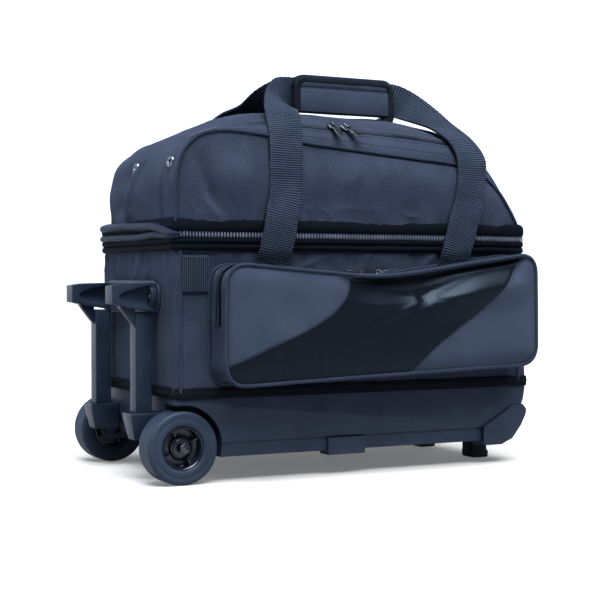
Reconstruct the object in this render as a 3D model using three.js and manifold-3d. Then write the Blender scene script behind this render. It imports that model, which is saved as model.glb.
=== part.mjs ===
// Two-ball wheeled bowling bag: moulded wheel tray, zipped ball compartment, hinged shoe lid,
// front pocket, carry straps with a padded grip, and a telescopic tow handle at the wheel end.
// Millimetres, +Z up. X runs along the bag with the wheels at -X, and the pocket faces -Y.
import * as THREE from 'three';
import { mergeVertices } from 'three/addons/utils/BufferGeometryUtils.js';
import Module from 'manifold-3d';

const wasm = await Module();
wasm.setup();

// ---- driving dimensions ----
const GAP = 0.3;
const BODY = { halfX: 252, halfY: 143, frontR: 4, rearR: 35 };
const TRAY = { bottom: 31.5, top: 103.5, wall: 4, ledge: 50, ledgeIn: 2.5 };
const SHELL = { bottom: 103.8, top: 300.2, wall: 5 };
const BAND = { out: 5.5, lowBottom: 284.3, lowTop: 300.2, topBottom: 301.1, topTop: 322 };
const LID = { bottom: 301.1, wall: 6, frontY: -142.2, rearY: 141.5, rearDrop: 35, zipY: -127 };
const WHEEL = { r: 45, width: 38.4, outerY: 146.2, x: -243.5, z: 45, archR: 52 };
const AXLE = { r: 4.2, headR: 7, headT: 4, start: 97 };
const POST = { x: -272.5, y: 76, bottom: 66.4, top: 208.8 };
const TUBE_SIDES = [21, 17, 13.6, 10.2, 7];
const TUBE_BORES = [17.6, 14.2, 10.8, 7.6];
const TUBE = { bottom: 54.3, top: 207.6 };
const DOCK = { x0: -258.3, x1: -252.3, halfY: 100, z0: 206, z1: 248 };
const HEAD = { x0: -265.6, x1: -258.7, halfY: 97, z0: 209, z1: 245, tipX: -315 };
const ARM = { halfW: 13, y: 79 };
const SCOOP = { tipX: -306, length: 40.5, radius: 14.6, depth: 9.2 };
const SCOOP_STEPS = [0, 0.14, 0.28, 0.42, 0.55, 0.67, 0.78, 0.89, 1];
const POCKET = { backY: -143.3, zipY: -171.5, frontY: -195, wall: 4, foldZ: 186 };
const STRAP = { width: 42, thick: 2.2 };
const GRIP = { x0: -51, x1: 99, y: -50, halfY: 11, z0: 470.6, z1: 518.5, cornerR: 16 };
const BALL = { x: 115, cupR: 72, cupHole: 34, floor: 44.4, cupTop: 64 };

// ---- colours ----
const FABRIC = 0x1b2130;
const WEBBING = 0x161a22;
const MOULDING = 0x1d232c;
const TYRE = 0x2c3744;
const METAL = 0x6d737c;
const FOAM = 0x30343a;

const bag = new THREE.Group();

function material(color, roughness = 0.8, metalness = 0) {
  return new THREE.MeshStandardMaterial({ color, roughness, metalness });
}

function put(name, geometry, color, roughness, metalness) {
  const mesh = new THREE.Mesh(geometry, material(color, roughness, metalness));
  mesh.name = name;
  bag.add(mesh);
}

// ---- solids ----
function solid(geometry) {
  const bare = new THREE.BufferGeometry();
  bare.setAttribute('position', geometry.getAttribute('position').clone());
  if (geometry.index) bare.setIndex(geometry.index.clone());
  const merged = mergeVertices(bare, 1e-4);
  const mesh = new wasm.Mesh({
    numProp: 3,
    vertProperties: new Float32Array(merged.getAttribute('position').array),
    triVerts: new Uint32Array(merged.index.array),
  });
  return new wasm.Manifold(mesh);
}

function geometryOf(manifold) {
  const mesh = manifold.getMesh();
  const geometry = new THREE.BufferGeometry();
  geometry.setAttribute('position', new THREE.BufferAttribute(new Float32Array(mesh.vertProperties), 3));
  geometry.setIndex(new THREE.BufferAttribute(new Uint32Array(mesh.triVerts), 1));
  return geometry;
}

function block(x0, x1, y0, y1, z0, z1) {
  const geometry = new THREE.BoxGeometry(x1 - x0, y1 - y0, z1 - z0);
  return solid(geometry.translate((x0 + x1) / 2, (y0 + y1) / 2, (z0 + z1) / 2));
}

function shapeOf(points) {
  return new THREE.Shape(points.map(([u, v]) => new THREE.Vector2(u, v)));
}

// Outline in plan, raised from z0 to z1.
function prismZ(points, z0, z1) {
  const geometry = new THREE.ExtrudeGeometry(shapeOf(points), { depth: z1 - z0, bevelEnabled: false });
  return solid(geometry.translate(0, 0, z0));
}

// Outline in side view (x, z), running from y0 to y1.
function prismY(points, y0, y1) {
  const geometry = new THREE.ExtrudeGeometry(shapeOf(points), { depth: y1 - y0, bevelEnabled: false });
  return solid(geometry.rotateX(Math.PI / 2).translate(0, y1, 0));
}

// Outline in end view (y, z), running from x0 to x1.
function prismX(points, x0, x1) {
  const geometry = new THREE.ExtrudeGeometry(shapeOf(points), { depth: x1 - x0, bevelEnabled: false });
  geometry.rotateX(Math.PI / 2).rotateZ(Math.PI / 2);
  return solid(geometry.translate(x0, 0, 0));
}

function cylinderY(radius, y0, y1, x, z, segments = 32) {
  const geometry = new THREE.CylinderGeometry(radius, radius, y1 - y0, segments);
  return solid(geometry.translate(x, (y0 + y1) / 2, z));
}

// Polygon with each corner [u, v, radius] rounded by a short arc.
function rounded(corners, steps = 5) {
  const points = [];
  corners.forEach(([u, v, radius], i) => {
    const corner = new THREE.Vector2(u, v);
    const before = corners[(i + corners.length - 1) % corners.length];
    const after = corners[(i + 1) % corners.length];
    const toBefore = new THREE.Vector2(before[0], before[1]).sub(corner).normalize();
    const toAfter = new THREE.Vector2(after[0], after[1]).sub(corner).normalize();
    if (!radius) {
      points.push([u, v]);
      return;
    }
    const start = corner.clone().addScaledVector(toBefore, radius);
    const end = corner.clone().addScaledVector(toAfter, radius);
    const arc = new THREE.QuadraticBezierCurve(start, corner, end);
    for (const p of arc.getPoints(steps)) points.push([p.x, p.y]);
  });
  return points;
}

function arcPoints(u, v, radius, from, to, steps) {
  const points = [];
  for (let i = 0; i <= steps; i += 1) {
    const angle = THREE.MathUtils.degToRad(from + (to - from) * i / steps);
    points.push([u + radius * Math.cos(angle), v + radius * Math.sin(angle)]);
  }
  return points;
}

// Plan outline of the bag: tight corners at the front, wide ones at the rear.
function plan(offset) {
  const x = BODY.halfX + offset;
  const y = BODY.halfY + offset;
  const front = Math.max(BODY.frontR + offset, 1);
  const rear = BODY.rearR + offset;
  return [
    ...arcPoints(x - rear, y - rear, rear, 0, 90, 8),
    ...arcPoints(-x + rear, y - rear, rear, 90, 180, 8),
    ...arcPoints(-x + front, -y + front, front, 180, 270, 3),
    ...arcPoints(x - front, -y + front, front, 270, 360, 3),
  ];
}

function planRing(inner, outer, z0, z1) {
  return prismZ(plan(outer), z0, z1).subtract(prismZ(plan(inner), z0 - 1, z1 + 1));
}

// Closed skin through rings of equal length, with a fan at each end.
function loft(rings) {
  const count = rings[0].length;
  const positions = rings.flat(2);
  const index = [];
  for (let r = 0; r < rings.length - 1; r += 1) {
    for (let i = 0; i < count; i += 1) {
      const a = r * count + i;
      const b = r * count + (i + 1) % count;
      index.push(a, b, b + count, a, b + count, a + count);
    }
  }
  const centre = (ring) => [0, 1, 2].map((k) => ring.reduce((sum, p) => sum + p[k], 0) / count);
  const first = rings.length * count;
  const last = (rings.length - 1) * count;
  positions.push(...centre(rings[0]), ...centre(rings[rings.length - 1]));
  for (let i = 0; i < count; i += 1) {
    const next = (i + 1) % count;
    index.push(first, next, i);
    index.push(first + 1, last + i, last + next);
  }
  const geometry = new THREE.BufferGeometry();
  geometry.setAttribute('position', new THREE.Float32BufferAttribute(positions, 3));
  geometry.setIndex(index);
  return geometry;
}

// ---- moulded tray, wheels and feet ----
const TRAY_SIDE = [
  [-252, TRAY.top], [-252, 70], [-241, 45], [-222, TRAY.bottom], [214, TRAY.bottom],
  [236, 42], [248, 62], [252, 90], [252, TRAY.top],
];
const TRAY_INSIDE = [
  [-248, 110], [-248, 72], [-238, 49], [-220, 36], [212, 36], [233, 45.5], [244, 63.5], [248, 90], [248, 110],
];
const AXLE_LUG = [[-220, 33], [-220, 80], [-246, 80], [-257, 62], [-260, 45], [-252, 33]];
const SKID_SIDE = [
  [190, 25.5], [219, 25.5], [237, 33], [251, 50], [259, 65], [260, 72], [254, 79], [240, 79], [190, 50],
];

const FOOT_SIDE = [[216.5, 0], [240, 0], [241, 1.5], [241, 9], [238.5, 10.5], [238.5, 60], [215, 60], [215, 10.5],
  [214.5, 9], [214.5, 2]];

function trayOuter(grow) {
  return prismY(TRAY_SIDE, -BODY.halfY - 9, BODY.halfY + 9).intersect(prismZ(plan(grow), 0, 200));
}

function makeTray() {
  let tray = trayOuter(0).subtract(planRing(-TRAY.ledgeIn, 20, 0, TRAY.ledge));
  let cavity = prismY(TRAY_INSIDE, -200, 200).intersect(prismZ(plan(-TRAY.wall), 0, 200));
  for (const side of [-1, 1]) {
    const wellY = [side * 101.5, side * 160].sort((a, b) => a - b);
    cavity = cavity.subtract(cylinderY(WHEEL.archR + 4, wellY[0], wellY[1], WHEEL.x, WHEEL.z));
  }
  tray = tray.subtract(cavity);
  for (const side of [-1, 1]) {
    const lugY = [side * 93, side * 105.3].sort((a, b) => a - b);
    const archY = [side * 105.3, side * 160].sort((a, b) => a - b);
    const boreY = [side * 80, side * 120].sort((a, b) => a - b);
    const midY = [side * 122, side * 145.5].sort((a, b) => a - b);
    tray = tray.add(prismY(AXLE_LUG, lugY[0], lugY[1]));
    tray = tray.subtract(cylinderY(WHEEL.archR, archY[0], archY[1], WHEEL.x, WHEEL.z, 40));
    tray = tray.subtract(cylinderY(AXLE.r + GAP, boreY[0], boreY[1], WHEEL.x, WHEEL.z, 16));
    tray = tray.add(block(-46, 7, midY[0], midY[1], 26, 48).subtract(cavity));
  }
  put('tray', geometryOf(tray), MOULDING, 0.55);
}

function makeSkids() {
  for (const [name, side] of [['front', -1], ['rear', 1]]) {
    const span = [side * 114, side * 146.5].sort((a, b) => a - b);
    const clearance = prismY(TRAY_SIDE.map(([x, z]) => [x + (x > 200 ? GAP : 0), z - GAP]), -143.4, 143.4);
    const upper = block(180, 270, -143.4, 143.4, 60, 90).subtract(block(252.4, 271, -150, 150, 0, 95));
    const skid = prismY(SKID_SIDE, span[0], span[1]).subtract(clearance).subtract(upper);
    put(`corner_skid_${name}`, geometryOf(skid), MOULDING, 0.5);
    const footY = [side * 56, side * 82].sort((a, b) => a - b);
    const foot = prismY(FOOT_SIDE, footY[0], footY[1]).subtract(clearance);
    put(`foot_${name}`, geometryOf(foot), WEBBING, 0.8);
  }
}

function latheY(profile, segments) {
  const geometry = new THREE.LatheGeometry(profile.map(([r, y]) => new THREE.Vector2(r, y)), segments);
  return solid(geometry);
}

// One wheel about its own centre, axle along Y.
function makeWheels() {
  const half = WHEEL.width / 2;
  const centreY = WHEEL.outerY - half;
  const tyreProfile = [
    [26.2, -half + 2], [29, -half], [42, -half], [45, -half + 3], [45, half - 3], [42, half], [29, half],
    [26.2, half - 2], [26.2, -half + 2],
  ];
  const rimProfile = [[23.6, -17], [25.9, -17], [25.9, 17], [23.6, 17], [23.6, -17]];
  for (const [name, side] of [['front', -1], ['rear', 1]]) {
    const tyre = latheY(tyreProfile, 32).translate([WHEEL.x, side * centreY, WHEEL.z]);
    put(`tyre_${name}`, geometryOf(tyre), TYRE, 0.65);
    let hub = latheY(rimProfile, 20).add(cylinderY(24.5, -2, 2, 0, 0, 20));
    hub = hub.add(cylinderY(11, -half + 0.5, half - 8.5, 0, 0, 16));
    for (let i = 0; i < 4; i += 1) {
      const rib = new THREE.BoxGeometry(15, 22, 2.4).translate(17, 0, 0);
      hub = hub.add(solid(rib.rotateY(-i * Math.PI / 2 - 0.506)));
    }
    hub = hub.subtract(cylinderY(AXLE.r + GAP, -40, 40, 0, 0, 12));
    if (side > 0) hub = solid(geometryOf(hub).rotateZ(Math.PI));
    put(`hub_${name}`, geometryOf(hub.translate([WHEEL.x, side * centreY, WHEEL.z])), MOULDING, 0.4);
    const shank = [side * AXLE.start, side * WHEEL.outerY].sort((p, q) => p - q);
    const cap = [side * WHEEL.outerY, side * (WHEEL.outerY + AXLE.headT)].sort((p, q) => p - q);
    const bolt = cylinderY(AXLE.r, shank[0], shank[1], WHEEL.x, WHEEL.z, 12)
      .add(cylinderY(AXLE.headR, cap[0], cap[1], WHEEL.x, WHEEL.z, 6));
    put(`axle_bolt_${name}`, geometryOf(bolt), METAL, 0.3, 1);
  }
}

// ---- ball compartment ----
function makeBallCompartment() {
  put('lower_shell', geometryOf(planRing(-SHELL.wall, 0, SHELL.bottom, SHELL.top)), FABRIC);
  put('binding_tape', geometryOf(planRing(GAP, 2.8, 104.3, 117)), WEBBING);
  put('lower_zip_tape', geometryOf(planRing(GAP, BAND.out, BAND.lowBottom, BAND.lowTop)), WEBBING);
  put('base_board', geometryOf(block(-184, 205, -131, 131, 38, 44)), FOAM);
  put('ball_divider', geometryOf(block(-4, 4, -128, 128, 46, 268)), FABRIC);
  const cup = [[50, 0], [BALL.cupR, 0], [BALL.cupR, 19], [66, 19.6], [BALL.cupHole, 2.4], [BALL.cupHole, 0], [50, 0]];
  for (const [name, side] of [['left', -1], ['right', 1]]) {
    const ring = new THREE.LatheGeometry(cup.map(([r, z]) => new THREE.Vector2(r, z)), 32);
    ring.rotateX(Math.PI / 2).translate(side * BALL.x, 0, BALL.floor);
    put(`ball_cup_${name}`, geometryOf(solid(ring)), FOAM);
  }
}

// ---- shoe lid ----
// Side outline of the front panel: x, z, and how far the top bulges out midway across.
const LID_OUTLINE = [
  [-252, 301.1, 0], [-252, 312, 0], [-252, 326, 0], [-252, 347, 2], [-251, 372, 3], [-243, 402, 3], [-222, 423, 3],
  [-194, 430, 9], [-150, 428, 32], [-118, 424, 45.5], [-81, 418.5, 53.5], [-30, 414, 58], [30, 409, 62.5],
  [90, 404, 66], [148, 399, 61.5], [180, 391, 50], [210, 370, 32], [231, 344, 14], [244, 322, 0], [249, 301.1, 0],
];
const LID_STATIONS = [-143, -138.9, -130, -114, -90, -50, 0, 50, 90, 118, 134, 141.5];

function lidCurve(count) {
  const curve = new THREE.CatmullRomCurve3(LID_OUTLINE.map(([x, z, b]) => new THREE.Vector3(x, z, b)));
  const samples = [];
  for (let i = 0; i <= count; i += 1) {
    const point = curve.getPoint(i / count);
    const tangent = curve.getTangent(i / count);
    const normal = new THREE.Vector2(-tangent.y, tangent.x).normalize();
    if (i === 0) normal.set(-1, 0);
    if (i === count) normal.set(1, 0);
    samples.push({ x: point.x, z: point.y, bulge: Math.max(point.z, 0), normal });
  }
  return samples;
}

// Height of the lid's surface off its side outline, at a station y across the bag.
function lidOffset(sample, y) {
  if (y < -142) return -3;
  if (y <= 0) return sample.bulge * Math.sqrt(Math.max(1 - (y / 143) ** 2, 0));
  const power = 2 + Math.abs(sample.normal.x);
  const arch = (1 - Math.min(y / LID.rearY, 1) ** power) ** (1 / power);
  return -LID.rearDrop + (sample.bulge + LID.rearDrop) * arch;
}

function lidPoint(sample, y, extra) {
  const reach = lidOffset(sample, y) + extra;
  return [sample.x + sample.normal.x * reach, y, sample.z + sample.normal.y * reach];
}

function lidSolid(inset, bottom) {
  const samples = lidCurve(26);
  const rings = LID_STATIONS.map((station) => {
    const ring = samples.map((sample) => {
      const [x, , z] = lidPoint(sample, station, -inset);
      const y = Math.max(station, LID.frontY) * (1 - inset / 143);
      return [x, y, z];
    });
    ring[0][2] = bottom;
    ring[ring.length - 1][2] = bottom;
    return ring;
  });
  return solid(loft(rings));
}

function makeLid() {
  const shell = lidSolid(0, LID.bottom).subtract(lidSolid(LID.wall, LID.bottom - 5));
  put('lid_shell', geometryOf(shell), FABRIC);
  put('upper_zip_tape', geometryOf(planRing(GAP, BAND.out, BAND.topBottom, BAND.topTop)), WEBBING);
  const floor = rounded([[-238, -132, 8], [228, -132, 8], [228, 120, 34], [-238, 120, 34]]);
  put('shoe_floor', geometryOf(prismZ(floor, 305, 309)), FOAM);
  const samples = lidCurve(26).filter(({ x, z }) => z > 400 && x > -236 && x < 176);
  const rings = samples.map((sample) => [[-133, 0.9], [-121, 0.9], [-121, 2.3], [-133, 2.3]]
    .map(([y, lift]) => lidPoint(sample, y, lift)));
  put('top_zip', geometryOf(solid(loft(rings))), METAL, 0.5);
}

// ---- eyelets at the wheel end of the lid ----
function makeEyelets() {
  for (const [name, y, x] of [['front', -119, -250.9], ['middle', -2, -252.5]]) {
    const profile = [[3.4, 0], [7.5, 0], [7.5, 0.8], [6, 1.8], [3.4, 1.8], [3.4, 0]];
    const ring = new THREE.LatheGeometry(profile.map(([r, h]) => new THREE.Vector2(r, h)), 20);
    ring.rotateZ(Math.PI / 2).translate(x, y, 392);
    put(`eyelet_${name}`, geometryOf(solid(ring)), METAL, 0.3, 1);
  }
}

// ---- front pocket ----
const POCKET_OUTLINE = [[-208, 122, 26], [240, 138, 26], [238, 283, 28], [5, 250, 60], [-208, 268, 30]];

function pocketOutline(inset) {
  const moved = POCKET_OUTLINE.map(([x, z, radius]) => {
    const towardsX = x < -100 ? inset : x > 100 ? -inset : 0;
    return [x + towardsX, z + (z < 200 ? inset : -inset), radius];
  });
  return rounded(moved);
}

function makePocket() {
  const { backY, zipY, frontY, wall, foldZ } = POCKET;
  const ring = prismY(pocketOutline(0), zipY, backY).subtract(prismY(pocketOutline(wall), -200, -100));
  put('pocket_box', geometryOf(ring), FABRIC);
  const front = prismY(pocketOutline(0), frontY, zipY - GAP)
    .subtract(prismY(pocketOutline(wall), frontY + wall, zipY + 5));
  const below = block(-300, 300, -250, -100, 0, foldZ - GAP);
  const above = block(-300, 300, -250, -100, foldZ + GAP, 400);
  put('pocket_lower', geometryOf(front.intersect(below)), FABRIC);
  put('pocket_flap', geometryOf(front.intersect(above)), FABRIC);
  put('webbing_patch', geometryOf(block(-246, -211.5, -146, -143.3, 233, 277)), WEBBING);
}

// ---- zip sliders and pull tabs ----
// Local frame: x along the lying pull, y the pull's hinge, z out of the cloth.
function placed(geometry, origin, xAxis, zAxis) {
  const x = new THREE.Vector3(...xAxis).normalize();
  const z = new THREE.Vector3(...zAxis);
  const y = z.clone().cross(x).normalize();
  z.crossVectors(x, y);
  const matrix = new THREE.Matrix4().makeBasis(x, y, z).setPosition(...origin);
  return geometry.applyMatrix4(matrix);
}

function sliderSolid() {
  const base = block(-6, 6, -4.5, 4.5, 0, 2.3);
  const bridge = block(-4, 4, -1, 1, 1, 6).subtract(block(-2.7, 2.7, -2, 2, 2.3, 4.8));
  return base.add(bridge);
}

function pullSolid() {
  const tab = prismZ(rounded([[-0.6, -3.4, 0], [5, -3.8, 0], [26, -4.6, 3.5], [26, 4.6, 3.5], [5, 3.8, 0], [-0.6, 3.4, 0]], 3),
    2.9, 4.1);
  return tab.subtract(block(0.6, 5.4, -1.6, 1.6, 0, 8)).subtract(block(18.5, 22.5, -2.4, 2.4, 0, 8));
}

const SLIDERS = [
  ['top_left', [-33, -128.7, 443.8], [0.08, -0.79, -0.61], [0, -0.61, 0.79]],
  ['top_right', [-13, -128.7, 442.4], [0.42, -0.72, -0.56], [0, -0.61, 0.79]],
  ['pocket_left', [-9, -166.3, 254.4], [-1, 0, 0.08], [0, 0, 1]],
  ['pocket_right', [15, -166.3, 255.2], [1, 0, 0.142], [0, 0, 1]],
  ['main_front', [258.2, -12, 301.5], [0, 0, -1], [1, 0, 0]],
  ['main_rear', [258.2, 12, 301.5], [0, 0, -1], [1, 0, 0]],
];

function makeSliders() {
  for (const [name, origin, xAxis, zAxis] of SLIDERS) {
    put(`slider_${name}`, placed(geometryOf(sliderSolid()), origin, xAxis, zAxis), METAL, 0.3, 1);
    put(`pull_${name}`, placed(geometryOf(pullSolid()), origin, xAxis, zAxis), METAL, 0.3, 1);
  }
}

// ---- carry straps and grip ----
// Each row: centre of the webbing, then the direction of its width.
const FRONT_STRAP = [
  [-124, -153.4, 285, 1, 0, 0], [-119, -154.2, 306, 1, 0, 0], [-115, -153, 327, 1, 0, 0],
  [-109, -149.6, 352, 1, 0, 0], [-106, -148.6, 390, 1, 0, 0], [-104, -148, 422, 1, 0, 0],
  [-99, -135, 450, 1, 0.1, -0.15], [-89, -110, 471, 0.9, 0.1, -0.4], [-75, -80, 487, 0.7, 0, -0.7],
  [-65, -56, 493.5, 0.3, 0, -0.95],
  [-56, -50.3, 494, 0, 0, -1], [-46, -50, 494, 0, 0, -1], [0, -50, 494, 0, 0, -1], [50, -50, 494, 0, 0, -1],
  [94, -50, 494, 0, 0, -1], [103, -50.3, 494, 0, 0, -1],
  [114, -55, 490, -0.3, -0.1, -0.95], [133, -74, 476, -0.6, -0.35, -0.7], [150, -102, 456, -0.85, -0.4, -0.3],
  [162, -130, 434, -1, -0.2, -0.1], [167, -147, 410, -1, 0, 0], [167, -149, 385, -1, 0, 0],
  [162, -149.8, 352, -1, 0, 0], [153, -153, 327, -1, 0, 0], [147, -154.2, 306, -1, 0, 0], [141, -153.4, 285, -1, 0, 0],
];
const REAR_STRAP = [
  [-124, 153.4, 285, 1, 0, 0], [-119, 154.2, 306, 1, 0, 0], [-115, 152.4, 327, 1, 0, 0],
  [-110, 148.6, 356, 1, 0, 0], [-107, 147, 392, 1, 0, 0], [-104, 137, 424, 1, 0, 0], [-100, 113, 446, 1, 0, 0],
  [-94, 78, 467, 1, 0, 0], [-85, 42, 480, 0.95, 0, -0.3], [-74, 8, 487.5, 0.75, 0, -0.65],
  [-62, -20, 492, 0.35, 0, -0.95], [-48, -33.5, 494, 0, 0, -1], [24, -33.5, 494, 0, 0, -1], [96, -33.5, 494, 0, 0, -1],
  [110, -24, 492, -0.3, 0, -0.95], [124, 2, 487, -0.65, 0, -0.75], [138, 38, 481, -0.92, 0, -0.4],
  [150, 76, 470, -1, 0, 0], [158, 108, 452, -1, 0, 0], [163, 132, 426, -1, 0, 0], [166, 146.6, 392, -1, 0, 0],
  [162, 148.8, 356, -1, 0, 0], [153, 152.4, 327, -1, 0, 0], [147, 154.2, 306, -1, 0, 0], [141, 153.4, 285, -1, 0, 0],
];

function ribbon(rows, steps) {
  const centre = new THREE.CatmullRomCurve3(rows.map((row) => new THREE.Vector3(row[0], row[1], row[2])));
  const across = new THREE.CatmullRomCurve3(rows.map((row) => new THREE.Vector3(row[3], row[4], row[5])));
  centre.tension = 0.4;
  const rings = [];
  for (let i = 0; i <= steps; i += 1) {
    const point = centre.getPoint(i / steps);
    const tangent = centre.getTangent(i / steps);
    const width = across.getPoint(i / steps);
    width.addScaledVector(tangent, -width.dot(tangent)).normalize().multiplyScalar(STRAP.width / 2);
    const normal = tangent.clone().cross(width).normalize().multiplyScalar(STRAP.thick / 2);
    rings.push([[1, 1], [-1, 1], [-1, -1], [1, -1]].map(([w, n]) => point.clone()
      .addScaledVector(width, w).addScaledVector(normal, n).toArray()));
  }
  return solid(loft(rings));
}

function makeStraps() {
  put('front_strap', geometryOf(ribbon(FRONT_STRAP, 44)), WEBBING);
  put('rear_strap', geometryOf(ribbon(REAR_STRAP, 48)), WEBBING);
  const { x0, x1, y, halfY, z0, z1, cornerR } = GRIP;
  const side = rounded([[x0, z0, 4], [x1, z0, 4], [x1, z1, cornerR], [x0, z1, cornerR]]);
  const pad = prismY(side, y - halfY, y + halfY);
  const slot = block(x0 - 5, x1 + 5, y - 2, y + 2, 472.5, 515.5);
  put('grip_pad', geometryOf(pad.subtract(slot)), FABRIC);
}

// ---- tow handle ----
function squareTube(side, bore, y, z0, z1) {
  const half = side / 2;
  const outer = block(POST.x - half, POST.x + half, y - half, y + half, z0, z1);
  if (!bore) return outer;
  const inner = bore / 2;
  return outer.subtract(block(POST.x - inner, POST.x + inner, y - inner, y + inner, z0 - 1, z1 + 1));
}

function stadium(halfY, z0, z1) {
  const radius = (z1 - z0) / 2;
  const middle = (z0 + z1) / 2;
  return [
    ...arcPoints(halfY - radius, middle, radius, -90, 90, 10),
    ...arcPoints(-halfY + radius, middle, radius, 90, 270, 10),
  ];
}

function socketSolid(y) {
  const ring = (z, x0, halfY) => [[x0, y - halfY, z], [-252.4, y - halfY, z], [-252.4, y + halfY, z], [x0, y + halfY, z]];
  const cup = solid(loft([ring(51, -285, 11.5), ring(78, -291, 16.5), ring(84, -291, 16.5)]));
  const wide = TUBE_SIDES[0] / 2 + 0.35;
  const narrow = TUBE_SIDES[1] / 2 + 0.35;
  const postHole = block(POST.x - wide, POST.x + wide, y - wide, y + wide, POST.bottom - 0.4, 90);
  const tubeHole = block(POST.x - narrow, POST.x + narrow, y - narrow, y + narrow, TUBE.bottom - 0.3, 70);
  return cup.subtract(postHole).subtract(tubeHole);
}

function armSolid(y) {
  const side = [[HEAD.x1, 209], [HEAD.x1, 244.4], [-300, 243.5], [HEAD.tipX, 241], [HEAD.tipX, 219], [-300, 215.4]];
  let arm = prismY(side, y - ARM.halfW, y + ARM.halfW);
  for (const face of [-1, 1]) {
    const bowl = [...SCOOP_STEPS.map((t) => new THREE.Vector2(SCOOP.radius * t, SCOOP.length * t * t)),
      new THREE.Vector2(0, SCOOP.length)];
    const scoop = new THREE.LatheGeometry(bowl, 20).rotateZ(-Math.PI / 2);
    scoop.scale(1, SCOOP.depth / SCOOP.radius, 1).translate(SCOOP.tipX, y + face * ARM.halfW, 227.6);
    arm = arm.subtract(solid(scoop));
  }
  const web = prismY([[-304, 216.6], [-283.4, 214], [-283.4, 190]], y - 7, y + 3);
  const slot = prismY([[-312, 213.5], [-299, 213.5], [-285.5, 196], [-292, 184]], y - 3.5, y - 0.5);
  return arm.add(web.subtract(slot));
}

function makeHandle() {
  put('dock_plate', geometryOf(prismX(stadium(DOCK.halfY, DOCK.z0, DOCK.z1), DOCK.x0, DOCK.x1)), MOULDING, 0.5);
  let head = prismX(stadium(HEAD.halfY, HEAD.z0, HEAD.z1), HEAD.x0, HEAD.x1);
  for (const [name, side] of [['front', -1], ['rear', 1]]) {
    head = head.add(armSolid(side * ARM.y));
    const y = side * POST.y;
    put(`socket_${name}`, geometryOf(socketSolid(y)), MOULDING, 0.5);
    put(`post_${name}`, geometryOf(squareTube(TUBE_SIDES[0], TUBE_BORES[0], y, POST.bottom, POST.top)), MOULDING, 0.5);
    ['tube_a', 'tube_b', 'tube_c', 'rod'].forEach((stage, i) => {
      const tube = squareTube(TUBE_SIDES[i + 1], TUBE_BORES[i + 1], y, TUBE.bottom + 0.1 * i, TUBE.top - 0.2 * i);
      put(`${stage}_${name}`, geometryOf(tube), METAL, 0.4, 1);
    });
    const screw = new THREE.LatheGeometry(
      [[0, 0], [3.2, 0], [3.2, 1], [2.2, 1.9], [0, 1.9]].map(([r, h]) => new THREE.Vector2(r, h)), 12);
    screw.rotateZ(Math.PI / 2).translate(HEAD.x0 - GAP, side * 89.5, 227);
    put(`head_screw_${name}`, geometryOf(solid(screw)), METAL, 0.3, 1);
  }
  put('handle_head', geometryOf(head), MOULDING, 0.5);
}

makeTray();
makeSkids();
makeWheels();
makeBallCompartment();
makeLid();
makeEyelets();
makePocket();
makeSliders();
makeStraps();
makeHandle();

// Origin at the middle of the footprint box, on the floor.
const extent = new THREE.Box3().setFromObject(bag);
bag.position.set(-(extent.min.x + extent.max.x) / 2, -(extent.min.y + extent.max.y) / 2, -extent.min.z);
bag.updateMatrixWorld(true);

export default bag;
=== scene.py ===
"""Wheeled two-ball bowling bag: fabric, webbing, zips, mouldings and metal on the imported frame."""
import math

import bmesh
import bpy
import numpy as np
from mathutils import Euler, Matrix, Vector


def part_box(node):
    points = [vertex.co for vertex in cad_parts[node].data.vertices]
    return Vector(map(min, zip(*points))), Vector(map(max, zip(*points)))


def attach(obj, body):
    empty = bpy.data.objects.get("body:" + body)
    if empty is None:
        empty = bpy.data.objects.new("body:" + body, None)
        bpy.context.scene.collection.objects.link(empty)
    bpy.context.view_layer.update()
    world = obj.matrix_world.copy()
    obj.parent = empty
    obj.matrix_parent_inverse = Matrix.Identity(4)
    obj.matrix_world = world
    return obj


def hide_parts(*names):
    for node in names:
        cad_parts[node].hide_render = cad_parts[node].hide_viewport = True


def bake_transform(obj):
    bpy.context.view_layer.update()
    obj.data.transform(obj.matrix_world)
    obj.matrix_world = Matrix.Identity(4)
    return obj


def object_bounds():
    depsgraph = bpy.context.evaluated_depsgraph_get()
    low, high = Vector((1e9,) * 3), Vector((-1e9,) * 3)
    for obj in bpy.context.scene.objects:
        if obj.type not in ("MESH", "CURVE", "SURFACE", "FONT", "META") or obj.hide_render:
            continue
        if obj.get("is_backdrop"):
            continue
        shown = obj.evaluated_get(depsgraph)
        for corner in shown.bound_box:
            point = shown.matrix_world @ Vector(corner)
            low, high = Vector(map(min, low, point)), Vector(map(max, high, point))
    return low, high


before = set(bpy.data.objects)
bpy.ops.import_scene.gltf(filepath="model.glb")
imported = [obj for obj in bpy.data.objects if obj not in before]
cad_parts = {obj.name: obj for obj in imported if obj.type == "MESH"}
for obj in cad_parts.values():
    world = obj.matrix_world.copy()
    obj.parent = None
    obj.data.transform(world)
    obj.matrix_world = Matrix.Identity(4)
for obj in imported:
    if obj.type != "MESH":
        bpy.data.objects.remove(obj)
cad_box = [list(corner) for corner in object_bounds()]

MM = 0.001
TAU = 2 * math.pi
shell_low, shell_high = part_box("lower_shell")
ORIGIN = np.array([(shell_low[0] + shell_high[0]) / 2, (shell_low[1] + shell_high[1]) / 2, 0.0])

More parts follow.
